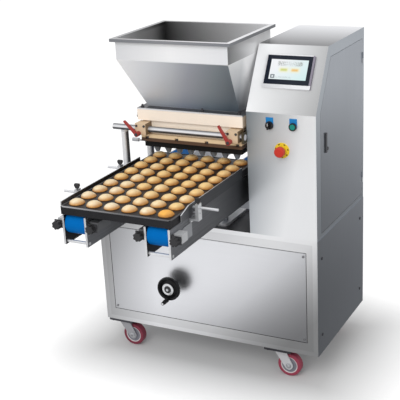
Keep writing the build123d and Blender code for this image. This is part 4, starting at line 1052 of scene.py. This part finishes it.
# Cooling fins and fan cover of the belt motor
FIN_LOW, FIN_HIGH = 0.0331, 0.0345
FIN_COUNT, FIN_START, FIN_PITCH = 8, 0.008, 0.0075
fins = [(FIN_LOW, 0.0)]
for fin in range(FIN_COUNT):
    at = FIN_START + fin * FIN_PITCH
    fins += [(FIN_LOW, at), (FIN_HIGH, at + 0.0008), (FIN_HIGH, at + 0.0034), (FIN_LOW, at + 0.0042)]
fan_cover = [(FIN_LOW, 0.072), (FIN_HIGH, 0.074), (FIN_HIGH, 0.106), (0.0325, 0.110), (0.0, 0.1105)]
turned_piece("motor_fins", fins + fan_cover, MOTOR_FRONT, FRONT, "lift", motor_paint,
             steps=56)

# Floor
FLOOR_HALF = 30
FOOTPRINT = ((0.0, 0.495), (0.26, 0.28))
FLOOR_LIFT, SHADOW_REACH = 0.55, 0.36
POOL, SIDE_POOL = ((-0.52, -1.75), (0.64, 1.75)), ((-1.15, 0.20), (0.55, 0.80))
POOL_SCALE = 0.1
POOL_LEVELS = ((0.0, 1.0), (0.06, 0.98), (0.08, 0.80), (0.10, 0.42), (0.125, 0.22), (0.26, 0.20),
               (0.43, 0.36), (0.60, 1.0), (0.80, 0.65), (1.0, 0.70))
SIDE_POOL_TONE, SIDE_POOL_FADE = (0.98, 0.98, 1.0), (0.5, 1.2)


def pool_reach(look, centre, size):
    """How far a place lies from a pool's middle, counted in pool sizes."""
    return look.length(*(look.math("DIVIDE", look.minus(look.axis(letter), middle), half)
                         for letter, middle, half in zip("XY", centre, size)))


def floor_look():
    """White to the camera away from the shadow, and lit pools with soft ends to the metal."""
    look = Look("floor_paper", rough=0.8, shine=0.0)
    look.colour(look.mix(look.noise(3.0), (0.62, 0.62, 0.62), (0.65, 0.65, 0.65)))
    ray = look.new("ShaderNodeLightPath").outputs
    beyond = (look.larger(look.minus(look.size(look.minus(look.axis(letter), middle)), half), 0.0)
              for letter, (middle, half) in zip("XY", FOOTPRINT))
    far = look.remap(look.length(*beyond), 0.0, FLOOR_LIFT, 0.0, SHADOW_REACH)
    look.feed("Emission Color", (*WHITE, 1.0))
    look.feed("Emission Strength", look.times(ray["Is Camera Ray"], far))
    pool = look.ramp(look.times(pool_reach(look, *POOL), POOL_SCALE),
                     *[(at, cool(level)) for at, level in POOL_LEVELS])
    beside = look.remap(pool_reach(look, *SIDE_POOL), 1.0, 0.0, *SIDE_POOL_FADE)
    shine = look.new("ShaderNodeEmission")
    look.link(look.mix(beside, pool, SIDE_POOL_TONE), shine.inputs["Color"])
    choice = look.new("ShaderNodeMixShader")
    look.link(ray["Is Glossy Ray"], choice.inputs["Fac"])
    look.link(look.bsdf.outputs["BSDF"], choice.inputs[1])
    look.link(shine.outputs["Emission"], choice.inputs[2])
    look.link(choice.outputs["Shader"], look.tree.nodes["Material Output"].inputs["Surface"])
    look.mat.cycles.emission_sampling = "NONE"
    return look.mat


mesh = bpy.data.meshes.new("floor")
corners = [(sx * FLOOR_HALF, sy * FLOOR_HALF, 0) for sx, sy in ((-1, -1), (1, -1), (1, 1), (-1, 1))]
mesh.from_pydata(corners, [], [(0, 1, 2, 3)])
mesh.materials.append(floor_look())
floor = in_scene(bpy.data.objects.new("floor", mesh))

# Surroundings: white to the camera, an even dome to the object, a soft room to the metal
DOME = 0.82
ROOM_DEPTH = ((-1.0, 0.95), (-0.3, 0.90), (0.3, 0.80), (1.0, 0.88))
ROOM_SIDE = ((-1.0, 1.0), (0.1, 1.0), (0.6, 0.62), (1.0, 0.5))
world = bpy.data.worlds.new("studio")
scene.world = world
world.use_nodes = True
world.cycles.sampling_method = "NONE"
sky = Nodes(world.node_tree)


def room_level(letter, levels):
    """A grey level by one part of the direction, which runs from -1 to 1."""
    part = sky.unit(sky.split(sky.points["Generated"], letter))
    return sky.ramp(part, *[((place + 1) / 2, cool(level)) for place, level in levels])


ray = sky.new("ShaderNodeLightPath").outputs
room = sky.mix(1.0, room_level("Y", ROOM_DEPTH), room_level("X", ROOM_SIDE), "MULTIPLY")
lit = sky.mix(ray["Is Glossy Ray"], (DOME, DOME, DOME), room)
lit = sky.mix(ray["Is Transmission Ray"], lit, WHITE)
lit = sky.mix(ray["Is Camera Ray"], lit, WHITE)
sky.link(lit, sky.tree.nodes["Background"].inputs["Color"])

# Key light: a large soft box in front, which the metal doesn't mirror
KEY_PLACE, KEY_TARGET = Vector((0.5, -3.7, 3.4)), Vector((0, 0, 0.8))
KEY_SIZE, KEY_POWER = 2.4, 85
light = bpy.data.lights.new("key", "AREA")
light.shape = "RECTANGLE"
light.size = light.size_y = KEY_SIZE
light.energy = KEY_POWER
key = in_scene(bpy.data.objects.new("key", light))
key.location = KEY_PLACE
key.rotation_euler = (KEY_TARGET - KEY_PLACE).to_track_quat("-Z", "Y").to_euler()
key.visible_glossy = False

# Camera at the photograph's angle
YAW, PITCH, ROLL = math.radians(-28.0), math.radians(19.5), math.radians(-3.07)
CAMERA_PLACE = (1.715, -3.248, 2.036)
FOCAL_SHARE = 968.0 / 400.0
SENSOR = 36.0
FAR_END = 100.0
ahead = Vector((math.sin(YAW) * math.cos(PITCH), math.cos(YAW) * math.cos(PITCH), -math.sin(PITCH)))
right = Vector((math.cos(YAW), -math.sin(YAW), 0))
up = right.cross(ahead)
tilted_right = math.cos(ROLL) * right + math.sin(ROLL) * up
tilted_up = math.cos(ROLL) * up - math.sin(ROLL) * right
camera_data = bpy.data.cameras.new("camera")
camera_data.sensor_width = SENSOR
camera_data.lens = FOCAL_SHARE * SENSOR
camera_data.clip_end = FAR_END
camera = in_scene(bpy.data.objects.new("camera", camera_data))
turn = Matrix((tilted_right, tilted_up, -ahead)).transposed()
camera.matrix_world = Matrix.Translation(CAMERA_PLACE) @ turn.to_4x4()
scene.camera = camera
scene.view_settings.view_transform = "Standard"
